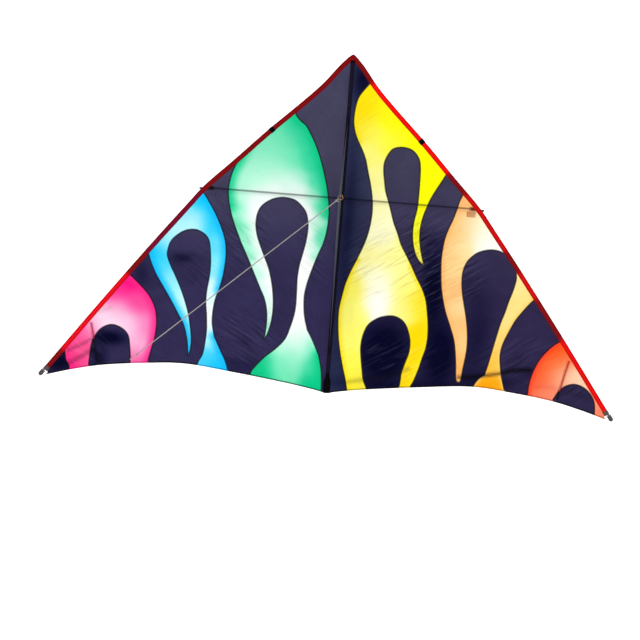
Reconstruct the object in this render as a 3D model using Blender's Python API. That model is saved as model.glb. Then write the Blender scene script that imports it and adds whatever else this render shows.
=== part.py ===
"""A large single-keel delta kite as it stands in the air: nose up, belly towards -Y, wings along X.

Metres, +Z up. The origin is the tow point, the eyelet at the tip of the keel. The spine's axis is the
vertical line x = 0, y = SPINE_Y. "Depth" is the distance below the nose, measured down the spine.
Everything on a wing is worked out for the right wing (x > 0) and mirrored for the left one.
"""

import math

import bpy
import numpy as np
from mathutils import Matrix, Vector

# Driving dimensions
KEEL_DEPTH = 0.300  # from the spine's axis forward to the tow eyelet
TOW_DEPTH = 0.705  # the spreader crosses the spine at this depth too
TAIL_DEPTH = 1.650
KEEL_TOP_DEPTH = 0.310
KEEL_FOOT_DEPTH = 1.460
GAP = 0.0003  # between pieces that touch

# The leading edge's outer side as (distance from the spine, depth), nose to wing tip
LEADING_EDGE = [
    (0.0, 0.0),
    (0.054, 0.050),
    (0.133, 0.150),
    (0.230, 0.250),
    (0.385, 0.400),
    (0.530, 0.550),
    (0.666, 0.688),
    (0.755, 0.800),
    (0.910, 1.000),
    (1.136, 1.300),
    (1.395, 1.650),
    (1.434, 1.702),
]
# The trailing edge, spine to wing tip
TRAILING_EDGE = [
    (0.0, 1.651),
    (0.05, 1.638),
    (0.20, 1.615),
    (0.45, 1.586),
    (0.70, 1.563),
    (0.90, 1.576),
    (1.10, 1.601),
    (1.25, 1.635),
    (1.38, 1.672),
]
TIP_SWEEP = 0.100  # how far the wing tips bend back behind the plane of spine and spreader
UPPER_BILLOW = 0.012  # the cloth's belly above the spreader
LOWER_BILLOW = 0.070  # and below it, at the trailing edge
SPREADER_TOUCH = 0.004  # how far the cloth is blown back beside the spreader

# Cloth
CLOTH = 0.0008  # single cloth, as a solid
SLEEVE_RADIUS = 0.0074  # the round part of the leading-edge sleeve
SLEEVE_BORE = 0.0066
SLEEVE_WIDTH = 0.024  # from its outer edge to the seam with the sail
SLEEVE_END_DEPTH = 1.645
HEM_WIDTH = 0.012
SAIL_INNER_X = 0.0085

# Rods
ROD = 0.004  # radius of every main rod
SOCKET_BORE = ROD + GAP
FERRULE_RADIUS = 0.0052
FERRULE_HALF = 0.030
SPAR_ROD_LENGTH = 0.825
BAND_DEPTH = 0.393  # the black tape that stops the spar's upper end
BAND_HALF = 0.0125
SPREADER_SETBACK = 0.013  # from the plane of spine and spars back to the spreader's axis
SPREADER_INNER_X = 0.030
POCKET_RADIUS = 0.0062
POCKET_BORE = 0.0056

# Spreader fitting, from the spar's axis
FITTING_IN = 0.049
FITTING_OUT = 0.022
FITTING_RADIUS = 0.008
COLLAR_RADIUS = 0.0062
COLLAR_HALF = 0.018

# Tow point and flying line
EYELET_HOLE = 0.0066
RING_RADIUS = 0.0135
RING_WIRE = 0.0015
LINE_DIAMETER = 0.0045
LINE_RUN = Vector((-0.888, -0.700, -0.837))  # from the eyelet to the far end of the line's end loop
KNOT_RADIUS = 0.005
HITCH_WIRE = 0.00125
KEEL_THICKNESS = 0.001
KEEL_TIP_RADIUS = 0.013
BINDING_DEPTH = 0.004

SIDES = 10  # flats round a rod
SPINE_Y = KEEL_DEPTH
COLOURS = {
    "sail_cloth": ((0.045, 0.035, 0.085, 1), 0.62, 0.0),
    "edge_cloth": ((0.55, 0.005, 0.01, 1), 0.6, 0.0),
    "black_tape": ((0.012, 0.012, 0.014, 1), 0.7, 0.0),
    "keel_cloth": ((0.11, 0.095, 0.10, 1), 0.65, 0.0),
    "webbing": ((0.13, 0.09, 0.08, 1), 0.8, 0.0),
    "glass_rod": ((0.02, 0.02, 0.022, 1), 0.35, 0.0),
    "ferrule": ((0.70, 0.71, 0.72, 1), 0.3, 1.0),
    "vinyl": ((0.015, 0.015, 0.017, 1), 0.45, 0.0),
    "tip_cap": ((0.055, 0.05, 0.055, 1), 0.5, 0.0),
    "brass": ((0.72, 0.48, 0.20, 1), 0.3, 1.0),
    "steel": ((0.60, 0.60, 0.58, 1), 0.25, 1.0),
    "elastic": ((0.30, 0.29, 0.29, 1), 0.8, 0.0),
    "line": ((0.50, 0.45, 0.42, 1), 0.75, 0.0),
}


# ---------------------------------------------------------------- curves
def smooth(points, per_span=12):
    """Points along a Catmull-Rom curve through the given ones."""
    given = np.array(points, float)
    ends = np.vstack([2 * given[0] - given[1], given, 2 * given[-1] - given[-2]])
    made = []
    for a, b, c, d in zip(ends[:-3], ends[1:-2], ends[2:-1], ends[3:]):
        for k in range(per_span):
            u = k / per_span
            made.append(0.5 * (2 * b + (c - a) * u + (2 * a - 5 * b + 4 * c - d) * u**2
                               + (3 * b - a - 3 * c + d) * u**3))
    return np.vstack([made, given[-1]])


def lengths(line):
    """The distance along a line to each of its points."""
    return np.concatenate([[0], np.cumsum(np.linalg.norm(np.diff(line, axis=0), axis=1))])


def height(depth):
    """World Z of a depth below the nose."""
    return TOW_DEPTH - depth


def spar_sweep(depth):
    """How far a spar stands behind the spine's plane: none down to the spreader, then an even bend."""
    beyond = np.clip((np.asarray(depth) - TOW_DEPTH) / (SLEEVE_END_DEPTH - TOW_DEPTH), 0, None)
    return TIP_SWEEP * beyond**1.7


def inward_of(line):
    """Unit vectors square to a flat (x, depth) line, towards the inside of the wing."""
    run = np.gradient(line, axis=0)
    run /= np.linalg.norm(run, axis=1)[:, None]
    return np.stack([-run[:, 1], run[:, 0]], axis=1)


EDGE_FLAT = smooth(LEADING_EDGE)
AXIS_FLAT = EDGE_FLAT + SLEEVE_RADIUS * inward_of(EDGE_FLAT)
SEAM_FLAT = EDGE_FLAT + SLEEVE_WIDTH * inward_of(EDGE_FLAT)
HEM_FLAT = smooth(TRAILING_EDGE)
AXIS_RUN = lengths(AXIS_FLAT)


def spar_at(run):
    """The point on the spar's axis at a distance along it from the nose."""
    x = np.interp(run, AXIS_RUN, AXIS_FLAT[:, 0])
    depth = np.interp(run, AXIS_RUN, AXIS_FLAT[:, 1])
    return Vector((x, SPINE_Y + float(spar_sweep(depth)), height(depth)))


def run_at_depth(depth):
    return float(np.interp(depth, AXIS_FLAT[:, 1], AXIS_RUN))


def trailing_depth(x):
    return np.interp(x, HEM_FLAT[:, 0], HEM_FLAT[:, 1])


def cloth_y(x, depth):
    """How far back the wing's cloth stands: stretched from spine to spar, and blown back between them."""
    seam_x = np.interp(depth, SEAM_FLAT[:, 1], SEAM_FLAT[:, 0])
    across = np.clip((x - SAIL_INNER_X) / np.maximum(seam_x - SAIL_INNER_X, 0.001), 0, 1.05)
    above = np.clip(depth / TOW_DEPTH, 0, 1)
    below = np.clip((depth - TOW_DEPTH) / (TAIL_DEPTH - TOW_DEPTH), 0, 1)
    belly = UPPER_BILLOW * np.sin(math.pi * above) ** 2 + SPREADER_TOUCH * above**3
    belly = belly + (LOWER_BILLOW - SPREADER_TOUCH) * (1 - np.cos(math.pi * below)) / 2
    return SPINE_Y + spar_sweep(depth) * across + belly * np.sin(math.pi * np.clip(across, 0, 1))


def on_cloth(x, depth, lift=0.0):
    """A point on the cloth, moved back by lift along its normal."""
    step = 0.004
    here = Vector((x, float(cloth_y(x, depth)), height(depth)))
    aside = Vector((x + step, float(cloth_y(x + step, depth)), height(depth))) - here
    lower = Vector((x, float(cloth_y(x, depth + step)), height(depth + step))) - here
    return here + lift * aside.cross(lower).normalized() * -1.0 if lift else here


# ---------------------------------------------------------------- building meshes
for old in list(bpy.data.objects):
    bpy.data.objects.remove(old)


def material(name):
    if name in bpy.data.materials:
        return bpy.data.materials[name]
    colour, roughness, metallic = COLOURS[name]
    made = bpy.data.materials.new(name)
    made.use_nodes = True
    shader = made.node_tree.nodes["Principled BSDF"]
    shader.inputs["Base Color"].default_value = colour
    shader.inputs["Roughness"].default_value = roughness
    shader.inputs["Metallic"].default_value = metallic
    made.diffuse_color = colour
    return made


def hinge_empty(name, place):
    empty = bpy.data.objects.new(name, None)
    empty.location = place
    bpy.context.scene.collection.objects.link(empty)
    return empty


def link(obj, parent, colour, smooth_sides):
    bpy.context.scene.collection.objects.link(obj)
    obj.data.materials.append(material(colour))
    if parent is not None:
        obj.parent = parent
        obj.matrix_parent_inverse = Matrix.Translation(-parent.location)
    if smooth_sides and obj.type == "MESH":
        obj.data.shade_smooth()
        obj.data.set_sharp_from_angle(angle=math.radians(40))
    return obj


def facing_out(points, faces):
    """The faces, each turned over if the shape was wound with its faces inwards."""
    corners = np.array(points, float)
    corners = corners - corners.mean(axis=0)
    fans = [(f[0], b, c) for f in faces for b, c in zip(f[1:-1], f[2:])]
    volume = np.linalg.det(corners[np.array(fans)]).sum()
    return faces if volume > 0 else [tuple(reversed(f)) for f in faces]


def solid(name, points, faces, colour, parent=None, round_sides=True):
    faces = facing_out(points, faces)
    mesh = bpy.data.meshes.new(name)
    mesh.from_pydata([tuple(p) for p in points], [], [tuple(f) for f in faces])
    obj = bpy.data.objects.new(name, mesh)
    return link(obj, parent, colour, round_sides)


def mirrored(points, faces):
    """The same shape on the left wing."""
    return [(-p[0], p[1], p[2]) for p in points], faces


def pair(name, shape, colour, round_sides=True):
    """right_NAME and left_NAME from one shape."""
    right = solid("right_" + name, *shape, colour, RIGHT_HINGE, round_sides)
    left = solid("left_" + name, *mirrored(*shape), colour, LEFT_HINGE, round_sides)
    return right, left


def loft(rings, closed_ring=True):
    """A solid skinned over rings with equal numbers of points, which turn clockwise seen from the last."""
    count = len(rings[0])
    points = [p for ring in rings for p in ring]
    faces = []
    for k in range(len(rings) - 1):
        for i in range(count):
            j = (i + 1) % count
            a, b = k * count, (k + 1) * count
            faces.append((a + i, a + j, b + j, b + i))
    last = (len(rings) - 1) * count
    if closed_ring:
        faces.append(tuple(reversed(range(count))))
        faces.append(tuple(last + i for i in range(count)))
    return points, faces


def pipe(outer_rings, inner_rings):
    """A tube's wall: outer and inner skins joined at both ends."""
    outer, skin = loft(outer_rings, closed_ring=False)
    inner, lining = loft(inner_rings, closed_ring=False)
    shift = len(outer)
    count = len(outer_rings[0])
    faces = skin + [tuple(shift + i for i in reversed(f)) for f in lining]
    last_out = len(outer) - count
    last_in = shift + len(inner) - count
    for i in range(count):
        j = (i + 1) % count
        faces.append((i, shift + i, shift + j, j))
        faces.append((last_out + i, last_out + j, last_in + j, last_in + i))
    return outer + inner, faces


def channel(outer_rows, inner_rows):
    """A strip bent round something: each row pair is one cross-section, open on one side."""
    rings = [list(out) + list(reversed(inn)) for out, inn in zip(outer_rows, inner_rows)]
    points, faces = loft(rings, closed_ring=False)
    count, half = len(rings[0]), len(outer_rows[0])
    last = (len(rings) - 1) * count
    for i in range(half - 1):
        j = count - 1 - i
        faces.append((i, j, j - 1, i + 1))
        faces.append((last + i, last + i + 1, last + j - 1, last + j))
    return points, faces


def circle(centre, across, back, radius, sides=SIDES):
    return [centre + radius * (math.cos(a) * across + math.sin(a) * back)
            for a in (2 * math.pi * i / sides for i in range(sides))]


def square_to(along):
    """Two unit vectors square to a direction, right-handed with it."""
    along = along.normalized()
    guide = Vector((0, 1, 0)) if abs(along.y) < 0.9 else Vector((1, 0, 0))
    across = guide.cross(along).normalized()
    return across, along.cross(across)


def rod(line, radius, sides=SIDES):
    """A round bar along a list of points."""
    rings = []
    for k, here in enumerate(line):
        along = line[min(k + 1, len(line) - 1)] - line[max(k - 1, 0)]
        across, back = square_to(along)
        rings.append(circle(here, across, back, radius, sides))
    return loft(rings)


def tube(start, end, radius, bore, sides=SIDES):
    across, back = square_to(end - start)
    return pipe([circle(p, across, back, radius, sides) for p in (start, end)],
                [circle(p, across, back, bore, sides) for p in (start, end)])


def turned(start, along, profile, sides=12):
    """A solid of revolution. The profile is (radius, distance along); it starts and ends on the axis."""
    along = along.normalized()
    across, back = square_to(along)
    points = [start + profile[0][1] * along]
    for radius, distance in profile[1:-1]:
        points += circle(start + distance * along, across, back, radius, sides)
    points.append(start + profile[-1][1] * along)
    faces = [(0, 1 + (i + 1) % sides, 1 + i) for i in range(sides)]
    for k in range(len(profile) - 3):
        a, b = 1 + k * sides, 1 + (k + 1) * sides
        for i in range(sides):
            j = (i + 1) % sides
            faces.append((a + i, a + j, b + j, b + i))
    last, a = len(points) - 1, 1 + (len(profile) - 3) * sides
    faces += [(last, a + i, a + (i + 1) % sides) for i in range(sides)]
    return points, faces


def spool(centre, along, profile, sides=16):
    """A ring of revolution. Its profile (radius, distance along) is a closed loop off the axis."""
    along = along.normalized()
    across, back = square_to(along)
    points = []
    for radius, distance in profile:
        points += circle(centre + distance * along, across, back, radius, sides)
    faces = []
    for k in range(len(profile)):
        a, b = k * sides, (k + 1) % len(profile) * sides
        for i in range(sides):
            j = (i + 1) % sides
            faces.append((a + i, a + j, b + j, b + i))
    return points, faces


def blind_cap(radius, length, bore_depth):
    """A push-on end cap's profile, mouth at the far end."""
    edge = 0.001
    return [(0, 0), (radius - edge, 0), (radius, edge), (radius, length), (SOCKET_BORE, length),
            (SOCKET_BORE, length - bore_depth), (0, length - bore_depth)]


def boolean(obj, other, operation):
    other.hide_render = True
    other.display_type = "WIRE"
    step = obj.modifiers.new(operation.lower() + "_" + other.name, "BOOLEAN")
    step.operation = operation
    step.solver = "EXACT"
    step.object = other


def box(centre, axes, halves):
    """The eight corners and six faces of a box turned to three axes."""
    points = [centre + sum((s * h * a for s, h, a in zip(signs, halves, axes)), Vector())
              for signs in [(-1, -1, -1), (1, -1, -1), (1, 1, -1), (-1, 1, -1),
                            (-1, -1, 1), (1, -1, 1), (1, 1, 1), (-1, 1, 1)]]
    faces = [(0, 3, 2, 1), (4, 5, 6, 7), (0, 1, 5, 4), (1, 2, 6, 5), (2, 3, 7, 6), (3, 0, 4, 7)]
    return points, faces


LEFT_HINGE = hinge_empty("left_wing_hinge", (0, SPINE_Y, 0))
RIGHT_HINGE = hinge_empty("right_wing_hinge", (0, SPINE_Y, 0))
KEEL_HINGE = hinge_empty("keel_hinge", (0, SPINE_Y, 0))


# ---------------------------------------------------------------- spine, caps, pocket, patches
SPINE_TOP_DEPTH = 0.043
SPINE_END_DEPTH = 1.640
SPINE_JOINT_DEPTH = (SPINE_TOP_DEPTH + SPINE_END_DEPTH) / 2


def spine_point(depth):
    return Vector((0, SPINE_Y, height(depth)))


def build_spine():
    upper = [spine_point(SPINE_JOINT_DEPTH - GAP / 2), spine_point(SPINE_TOP_DEPTH)]
    lower = [spine_point(SPINE_END_DEPTH), spine_point(SPINE_JOINT_DEPTH + GAP / 2)]
    solid("spine_upper_rod", *rod(upper, ROD), "glass_rod")
    solid("spine_lower_rod", *rod(lower, ROD), "glass_rod")
    ferrule = [spine_point(SPINE_JOINT_DEPTH + FERRULE_HALF), spine_point(SPINE_JOINT_DEPTH - FERRULE_HALF)]
    solid("spine_ferrule", *tube(*ferrule, FERRULE_RADIUS, SOCKET_BORE), "ferrule")
    top_profile = blind_cap(FERRULE_RADIUS, 0.021, 0.018)
    top_of_cap = spine_point(SPINE_TOP_DEPTH - 0.003 - GAP)
    solid("spine_top_cap", *turned(top_of_cap, Vector((0, 0, -1)), top_profile), "vinyl")
    tail_profile = blind_cap(0.0055, 0.026, 0.018)
    foot_of_cap = spine_point(SPINE_END_DEPTH + 0.008 + GAP)
    solid("spine_tail_cap", *turned(foot_of_cap, Vector((0, 0, 1)), tail_profile), "vinyl")
    pocket = [spine_point(1.612), spine_point(0.063)]
    solid("spine_pocket", *tube(*pocket, POCKET_RADIUS, POCKET_BORE, 12), "sail_cloth")


def build_nose_patch():
    """A small shield of doubled cloth over the nose, between the tops of the two sleeves."""
    half = 0.0015
    outline = [(0, 0.0), (0.0255, 0.0155), (0.0085, 0.0345), (0, 0.0385), (-0.0085, 0.0345),
               (-0.0255, 0.0155)]
    rings = [[Vector((x, SPINE_Y + y, height(d))) for x, d in outline] for y in (-half, half)]
    solid("nose_patch", *loft(rings), "edge_cloth", round_sides=False)


def build_tail_pocket():
    """Black tape folded over the foot of the spine, with a flat flange on each side."""
    arch, flange, gap, tape = 0.0070, 0.0150, 0.0009, 0.0009

    def section(depth, grown):
        radius = arch + grown
        row = [(-flange, -gap - grown)]
        row += [(-radius * math.cos(a), -gap - grown - radius * math.sin(a))
                for a in (math.radians(d) for d in (0, 30, 60, 90, 120, 150, 180))]
        row += [(flange, -gap - grown)]
        return [Vector((x, SPINE_Y + y, height(depth))) for x, y in row]

    depths = [1.565, 1.634]
    outer = [section(d, tape) for d in depths]
    inner = [section(d, 0) for d in depths]
    solid("tail_pocket", *channel(outer, inner), "black_tape")


# ---------------------------------------------------------------- leading edges
BAND_RUN = run_at_depth(BAND_DEPTH)
FITTING_RUN = run_at_depth(TOW_DEPTH)
SLEEVE_START_RUN = 0.034
SLEEVE_END_RUN = run_at_depth(SLEEVE_END_DEPTH)
SPAR_START_RUN = BAND_RUN + 0.006
SPAR_JOINT_RUN = SPAR_START_RUN + SPAR_ROD_LENGTH
SPAR_END_RUN = SLEEVE_END_RUN + 0.026
STRAIGHTS = [(FITTING_RUN - 0.022, FITTING_RUN + 0.022), (SPAR_JOINT_RUN - 0.034, SPAR_JOINT_RUN + 0.034)]
BAND_ENDS = (BAND_RUN - BAND_HALF, BAND_RUN + BAND_HALF)
FLAT_SHARE = 0.16  # how thick the empty sleeve is above the band, beside its round part


def stations(start, end):
    """Distances along the spar where its polyline bends. Nothing bends inside a fitting, ferrule or band."""
    fixed = [start, end] + [r for pair_of in STRAIGHTS for r in pair_of if start < r < end]
    fixed += [r for r in BAND_ENDS if start < r < end]
    even = np.linspace(start, end, max(2, round((end - start) / 0.13)))
    blocked = [(a - 0.03, b + 0.03) for a, b in STRAIGHTS + [BAND_ENDS, (start, start), (end, end)]]
    free = [r for r in even if not any(a < r < b for a, b in blocked)]
    return sorted(set(fixed + free))


BENDS = stations(0.0, AXIS_RUN[-1])


def bent_spar(run):
    """The spar's axis as the polyline through BENDS, so that every piece on it agrees."""
    k = min(max(int(np.searchsorted(BENDS, run)) - 1, 0), len(BENDS) - 2)
    share = (run - BENDS[k]) / (BENDS[k + 1] - BENDS[k])
    return spar_at(BENDS[k]).lerp(spar_at(BENDS[k + 1]), share)


def spar_frame(run):
    """(place, along the spar to the tip, in towards the sail, backward) on the right wing."""
    along = (bent_spar(run + 0.004) - bent_spar(run - 0.004)).normalized()
    back = Vector((0, 1, 0))
    back = (back - back.dot(along) * along).normalized()
    inward = back.cross(along)
    return bent_spar(run), along, inward, back


def runs_between(start, end):
    return [start] + [r for r in BENDS if start + 0.003 < r < end - 0.003] + [end]


ARC = [math.radians(a) for a in (-135, -96, -58, -20, 20, 58, 96, 135)]
LINING = [math.radians(a) for a in (-172, -154)] + ARC + [math.radians(a) for a in (154, 172)]


def sleeve_row(grown):
    """The sleeve's outer section as (in towards the sail, backward), from the seam round to the seam."""
    radius, tail, end = SLEEVE_RADIUS + grown, 0.0016 + grown, SLEEVE_WIDTH - SLEEVE_RADIUS
    arc = [(-radius * math.cos(a), radius * math.sin(a)) for a in ARC]
    half = CLOTH + grown
    return [(end, -half), (0.009, -tail)] + arc + [(0.009, tail), (end, half)]


def placed(row, run, flat=1.0):
    place, _, inward, back = spar_frame(run)
    return [place + i * inward + b * flat * back for i, b in row]


def flatness(run):
    """1 where the spar fills the sleeve, and thin above the band."""
    share = (run - (BAND_ENDS[0] - 0.035)) / 0.033
    share = min(max(share, 0), 1)
    return FLAT_SHARE + (1 - FLAT_SHARE) * share


def sleeve_shape():
    """One folded strip. Its bore starts at the band and is open at the wing tip."""
    row = sleeve_row(0)
    runs = runs_between(SLEEVE_START_RUN, SLEEVE_END_RUN)
    runs = sorted(set(runs + [BAND_ENDS[0] - 0.035]))
    outer = [placed(row, r, flatness(r)) for r in runs]
    lining = [(-SLEEVE_BORE * math.cos(a), SLEEVE_BORE * math.sin(a)) for a in LINING]
    inner = [placed(lining, r) for r in runs if r >= BAND_ENDS[0]]
    points, faces = pipe(outer, inner)
    count, shift = len(row), len(outer) * len(row)
    tops = [f for f in faces if set(f) & set(range(count)) and set(f) & set(range(shift, shift + count))]
    faces = [f for f in faces if f not in tops]
    faces.append(tuple(reversed(range(count))))
    faces.append(tuple(range(shift, shift + count)))
    return points, faces


def build_sleeves():
    sleeves = pair("leading_edge_sleeve", sleeve_shape(), "edge_cloth")
    place, along, inward, back = spar_frame(FITTING_RUN)
    centre = place + 0.0065 * back
    slot = box(centre, (along, inward, back), (0.026, 0.0092, 0.0055))
    cutters = pair("sleeve_slot", slot, "edge_cloth", round_sides=False)
    for sleeve, cutter in zip(sleeves, cutters):
        boolean(sleeve, cutter, "DIFFERENCE")


def build_spars():
    upper = [bent_spar(r) for r in runs_between(SPAR_START_RUN, SPAR_JOINT_RUN - GAP / 2)]
    lower = [bent_spar(r) for r in runs_between(SPAR_JOINT_RUN + GAP / 2, SPAR_END_RUN)]
    pair("spar_upper_rod", rod(upper, ROD), "glass_rod")
    pair("spar_lower_rod", rod(lower, ROD), "glass_rod")
    ends = [bent_spar(SPAR_JOINT_RUN - FERRULE_HALF), bent_spar(SPAR_JOINT_RUN + FERRULE_HALF)]
    pair("spar_ferrule", tube(*ends, FERRULE_RADIUS, SOCKET_BORE), "ferrule")
    along = spar_frame(SPAR_START_RUN)[1]
    top = bent_spar(SPAR_START_RUN) - (0.003 + GAP) * along
    pair("spar_top_cap", turned(top, along, blind_cap(FERRULE_RADIUS, 0.020, 0.017)), "vinyl")


def build_bands():
    """The black tape wrapped over the sleeve where the spar's upper end stops."""
    outer = [placed(sleeve_row(0.0012), r) for r in BAND_ENDS]
    inner = [placed(sleeve_row(0.0004), r) for r in BAND_ENDS]
    pair("spar_stop_band", channel(outer, inner), "black_tape")


def build_tips():
    """Webbing over the sleeve's mouth, and the slotted cap on the spar's end with its elastic loop."""
    mouth = (SLEEVE_END_RUN - 0.024, SLEEVE_END_RUN - 0.001)
    outer = [placed(sleeve_row(0.0014), r) for r in mouth]
    inner = [placed(sleeve_row(0.0004), r) for r in mouth]
    pair("tip_webbing", channel(outer, inner), "webbing")

    end, along, inward, back = spar_frame(SPAR_END_RUN)
    length, slot_depth, slot_half = 0.030, 0.006, 0.0019
    start = end + (0.011 + GAP) * along
    profile = [(0, 0), (0.0046, 0), (0.0056, 0.0012), (0.0062, 0.009), (0.0056, 0.012), (0.0056, length),
               (SOCKET_BORE, length), (SOCKET_BORE, 0.011), (0, 0.011)]
    caps = pair("tip_cap", turned(start, -along, profile), "tip_cap")
    slot = box(start, (along, inward, back), (slot_depth, 0.02, slot_half))
    for cap, cutter in zip(caps, pair("tip_slot", slot, "tip_cap", round_sides=False)):
        boolean(cap, cutter, "DIFFERENCE")

    wire, spread = 0.0013, 0.0082
    foot = spar_frame(SLEEVE_END_RUN)[0] + 0.0022 * along
    bend = start - (slot_depth - wire - 2 * GAP) * along
    reach = (bend - foot).length
    turn = 0.003
    route = [(spread, 0), (spread, reach - turn), (spread - 0.3 * turn, reach - 0.3 * turn),
             (spread - turn, reach), (turn - spread, reach),
             (0.3 * turn - spread, reach - 0.3 * turn), (-spread, reach - turn), (-spread, 0)]
    pair("tip_elastic", rod([foot + i * inward + a * along for i, a in route], wire, 8), "elastic")


# ---------------------------------------------------------------- spreader
def build_fittings():
    """A collar on the spar, and behind it the socket that the spreader's end pushes into."""
    place, along, inward, back = spar_frame(FITTING_RUN)
    side = Vector((1, 0, 0))
    axis = Vector((place.x, SPINE_Y + SPREADER_SETBACK, place.z))
    profile = [(0, 0), (FITTING_RADIUS - 0.001, 0), (FITTING_RADIUS, 0.001),
               (FITTING_RADIUS, FITTING_IN + 0.004), (0.0050, FITTING_IN + 0.008),
               (0.0046, FITTING_IN + FITTING_OUT), (0, FITTING_IN + FITTING_OUT)]
    fittings = pair("spreader_fitting", turned(axis - FITTING_IN * side, side, profile), "vinyl")
    collar_line = [place - COLLAR_HALF * along, place + COLLAR_HALF * along]
    collars = pair("fitting_collar", rod(collar_line, COLLAR_RADIUS, 12), "vinyl")
    saddle = box(place + 0.0065 * back, (along, inward, back), (0.009, 0.0042, 0.0045))
    saddles = pair("fitting_saddle", saddle, "vinyl", round_sides=False)
    reach = 2 * COLLAR_HALF
    bore_line = [place - reach * along, place + reach * along]
    bores = pair("fitting_bore", rod(bore_line, SOCKET_BORE, SIDES), "vinyl")
    socket_line = [axis - (FITTING_IN + 0.01) * side, axis]
    sockets = pair("fitting_socket", rod(socket_line, SOCKET_BORE, SIDES), "vinyl")
    for fitting, *tools in zip(fittings, collars, saddles, bores, sockets):
        for tool, operation in zip(tools, ("UNION", "UNION", "DIFFERENCE", "DIFFERENCE")):
            boolean(fitting, tool, operation)
    return axis


def build_spreader(axis):
    inner = Vector((SPREADER_INNER_X, axis.y, axis.z))
    outer = axis - GAP * Vector((1, 0, 0))
    pair("spreader_rod", rod([inner, outer], ROD), "glass_rod")
    half = Vector((0.055, 0, 0))
    centre = Vector((0, axis.y, axis.z))
    solid("spreader_centre_tube", *tube(centre - half, centre + half, 0.006, SOCKET_BORE), "vinyl")


# ---------------------------------------------------------------- sail
COLUMNS, ROWS = 22, 14
SEAM_CLEARANCE = 0.003
TIP_COLUMN = 1.352
COLUMN_SPREAD = 1.3  # over 1, the columns stand closer near the spine


def seam_line():
    """The sleeve's seam with the sail, as (distance from the spine, depth), with the sleeve's own bends."""
    seam = []
    for run in BENDS:
        place, _, inward, _ = spar_frame(run)
        at = place + (SLEEVE_WIDTH - SLEEVE_RADIUS) * inward
        seam.append((at.x, TOW_DEPTH - at.z))
    return np.array(seam)


def column_places():
    return SAIL_INNER_X + (TIP_COLUMN - SAIL_INNER_X) * np.linspace(0, 1, COLUMNS) ** COLUMN_SPREAD


def sheet_shape(grid, thickness):
    """A closed solid of one cloth from a grid of points, front face first."""
    rows, columns = len(grid), len(grid[0])
    flat = [p for row in grid for p in row]
    step = Vector((0, thickness / 2, 0))
    points = [p - step for p in flat] + [p + step for p in flat]
    shift = len(flat)
    faces = []
    for r in range(rows - 1):
        for c in range(columns - 1):
            a = r * columns + c
            for half in ((a, a + columns, a + columns + 1), (a, a + columns + 1, a + 1)):
                faces.append(half)
                faces.append(tuple(shift + i for i in reversed(half)))
    rim = [(0, c) for c in range(columns)] + [(r, columns - 1) for r in range(1, rows)]
    rim += [(rows - 1, c) for c in range(columns - 2, -1, -1)] + [(r, 0) for r in range(rows - 2, 0, -1)]
    loop = [r * columns + c for r, c in rim]
    for a, b in zip(loop, loop[1:] + loop[:1]):
        faces.append((a, b, shift + b, shift + a))
    return points, faces


def build_sail():
    xs = column_places()
    seam = seam_line()
    tops = np.interp(xs, seam[:, 0], seam[:, 1]) + SEAM_CLEARANCE
    feet = trailing_depth(xs) - HEM_WIDTH - 0.0006
    shares = np.linspace(0, 1, ROWS)
    grid = [[on_cloth(x, top + s * (foot - top)) for x, top, foot in zip(xs, tops, feet)] for s in shares]
    pair("sail_panel", sheet_shape(grid, CLOTH), "sail_cloth")


def build_hems():
    """The trailing edge's cloth turned up and sewn."""
    xs = column_places()
    grid = [[on_cloth(x, trailing_depth(x) - up) for x in xs] for up in (HEM_WIDTH, 0)]
    pair("trailing_edge_hem", sheet_shape(grid, 2 * CLOTH), "black_tape", round_sides=False)


def build_fitting_patches():
    """A square of doubled cloth on the sail's face, just below each spreader fitting."""
    lift = -(CLOTH / 2 + 0.0018)
    grid = [[on_cloth(x, d, lift) for x in (0.606, 0.634)] for d in (0.722, 0.744)]
    pair("fitting_patch", sheet_shape(grid, 0.0006), "black_tape", round_sides=False)


def build_battens():
    """A thin rod in a sewn channel across each wing near its tip, on the back of the cloth."""
    route = [(1.164, 1.412), (1.155, 1.455), (1.146, 1.50), (1.137, 1.545), (1.129, 1.588)]
    radius, lift = 0.0020, CLOTH / 2 + 0.0020 + 0.0009
    line = [on_cloth(x, d, lift) for x, d in route]
    pair("tip_batten", rod(line, radius, 8), "glass_rod")

    def section(grown):
        half, arch = 0.0075, radius + 0.0005 + grown
        row = [(-half, 0.0006 + grown - lift + CLOTH / 2)]
        angles = [math.radians(degrees) for degrees in (12, 60, 120, 168)]
        row += [(-arch * math.cos(angle), arch * math.sin(angle)) for angle in angles]
        return row + [(half, 0.0006 + grown - lift + CLOTH / 2)]

    along = (line[-1] - line[0]).normalized()
    surface_back = (on_cloth(*route[2], lift) - on_cloth(*route[2])).normalized()
    across = along.cross(surface_back).normalized()

    def rows(grown):
        return [[p + i * across + b * surface_back for i, b in section(grown)] for p in line]

    pair("batten_pocket", channel(rows(0.0006), rows(0.0)), "sail_cloth")


# ---------------------------------------------------------------- keel, tow point, line
def keel_outline():
    """(y, z) round the keel: up the seam beside the spine, then down the two free edges with a round tip."""
    seam_y = SPINE_Y - POCKET_RADIUS - 0.0012
    top, foot = (seam_y, height(KEEL_TOP_DEPTH)), (seam_y, height(KEEL_FOOT_DEPTH))

    def touch(corner, turn):
        """Where the straight edge from a corner meets the tip's circle round the origin."""
        reach = math.hypot(*corner)
        bearing = math.atan2(corner[1], corner[0]) + turn * math.acos(KEEL_TIP_RADIUS / reach)
        return bearing

    first, last = touch(top, 1), touch(foot, -1)
    arc = [first + (last + 2 * math.pi - first) * k / 8 for k in range(9)]
    tip = [(KEEL_TIP_RADIUS * math.cos(a), KEEL_TIP_RADIUS * math.sin(a)) for a in arc]
    return top, tip, foot


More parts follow.
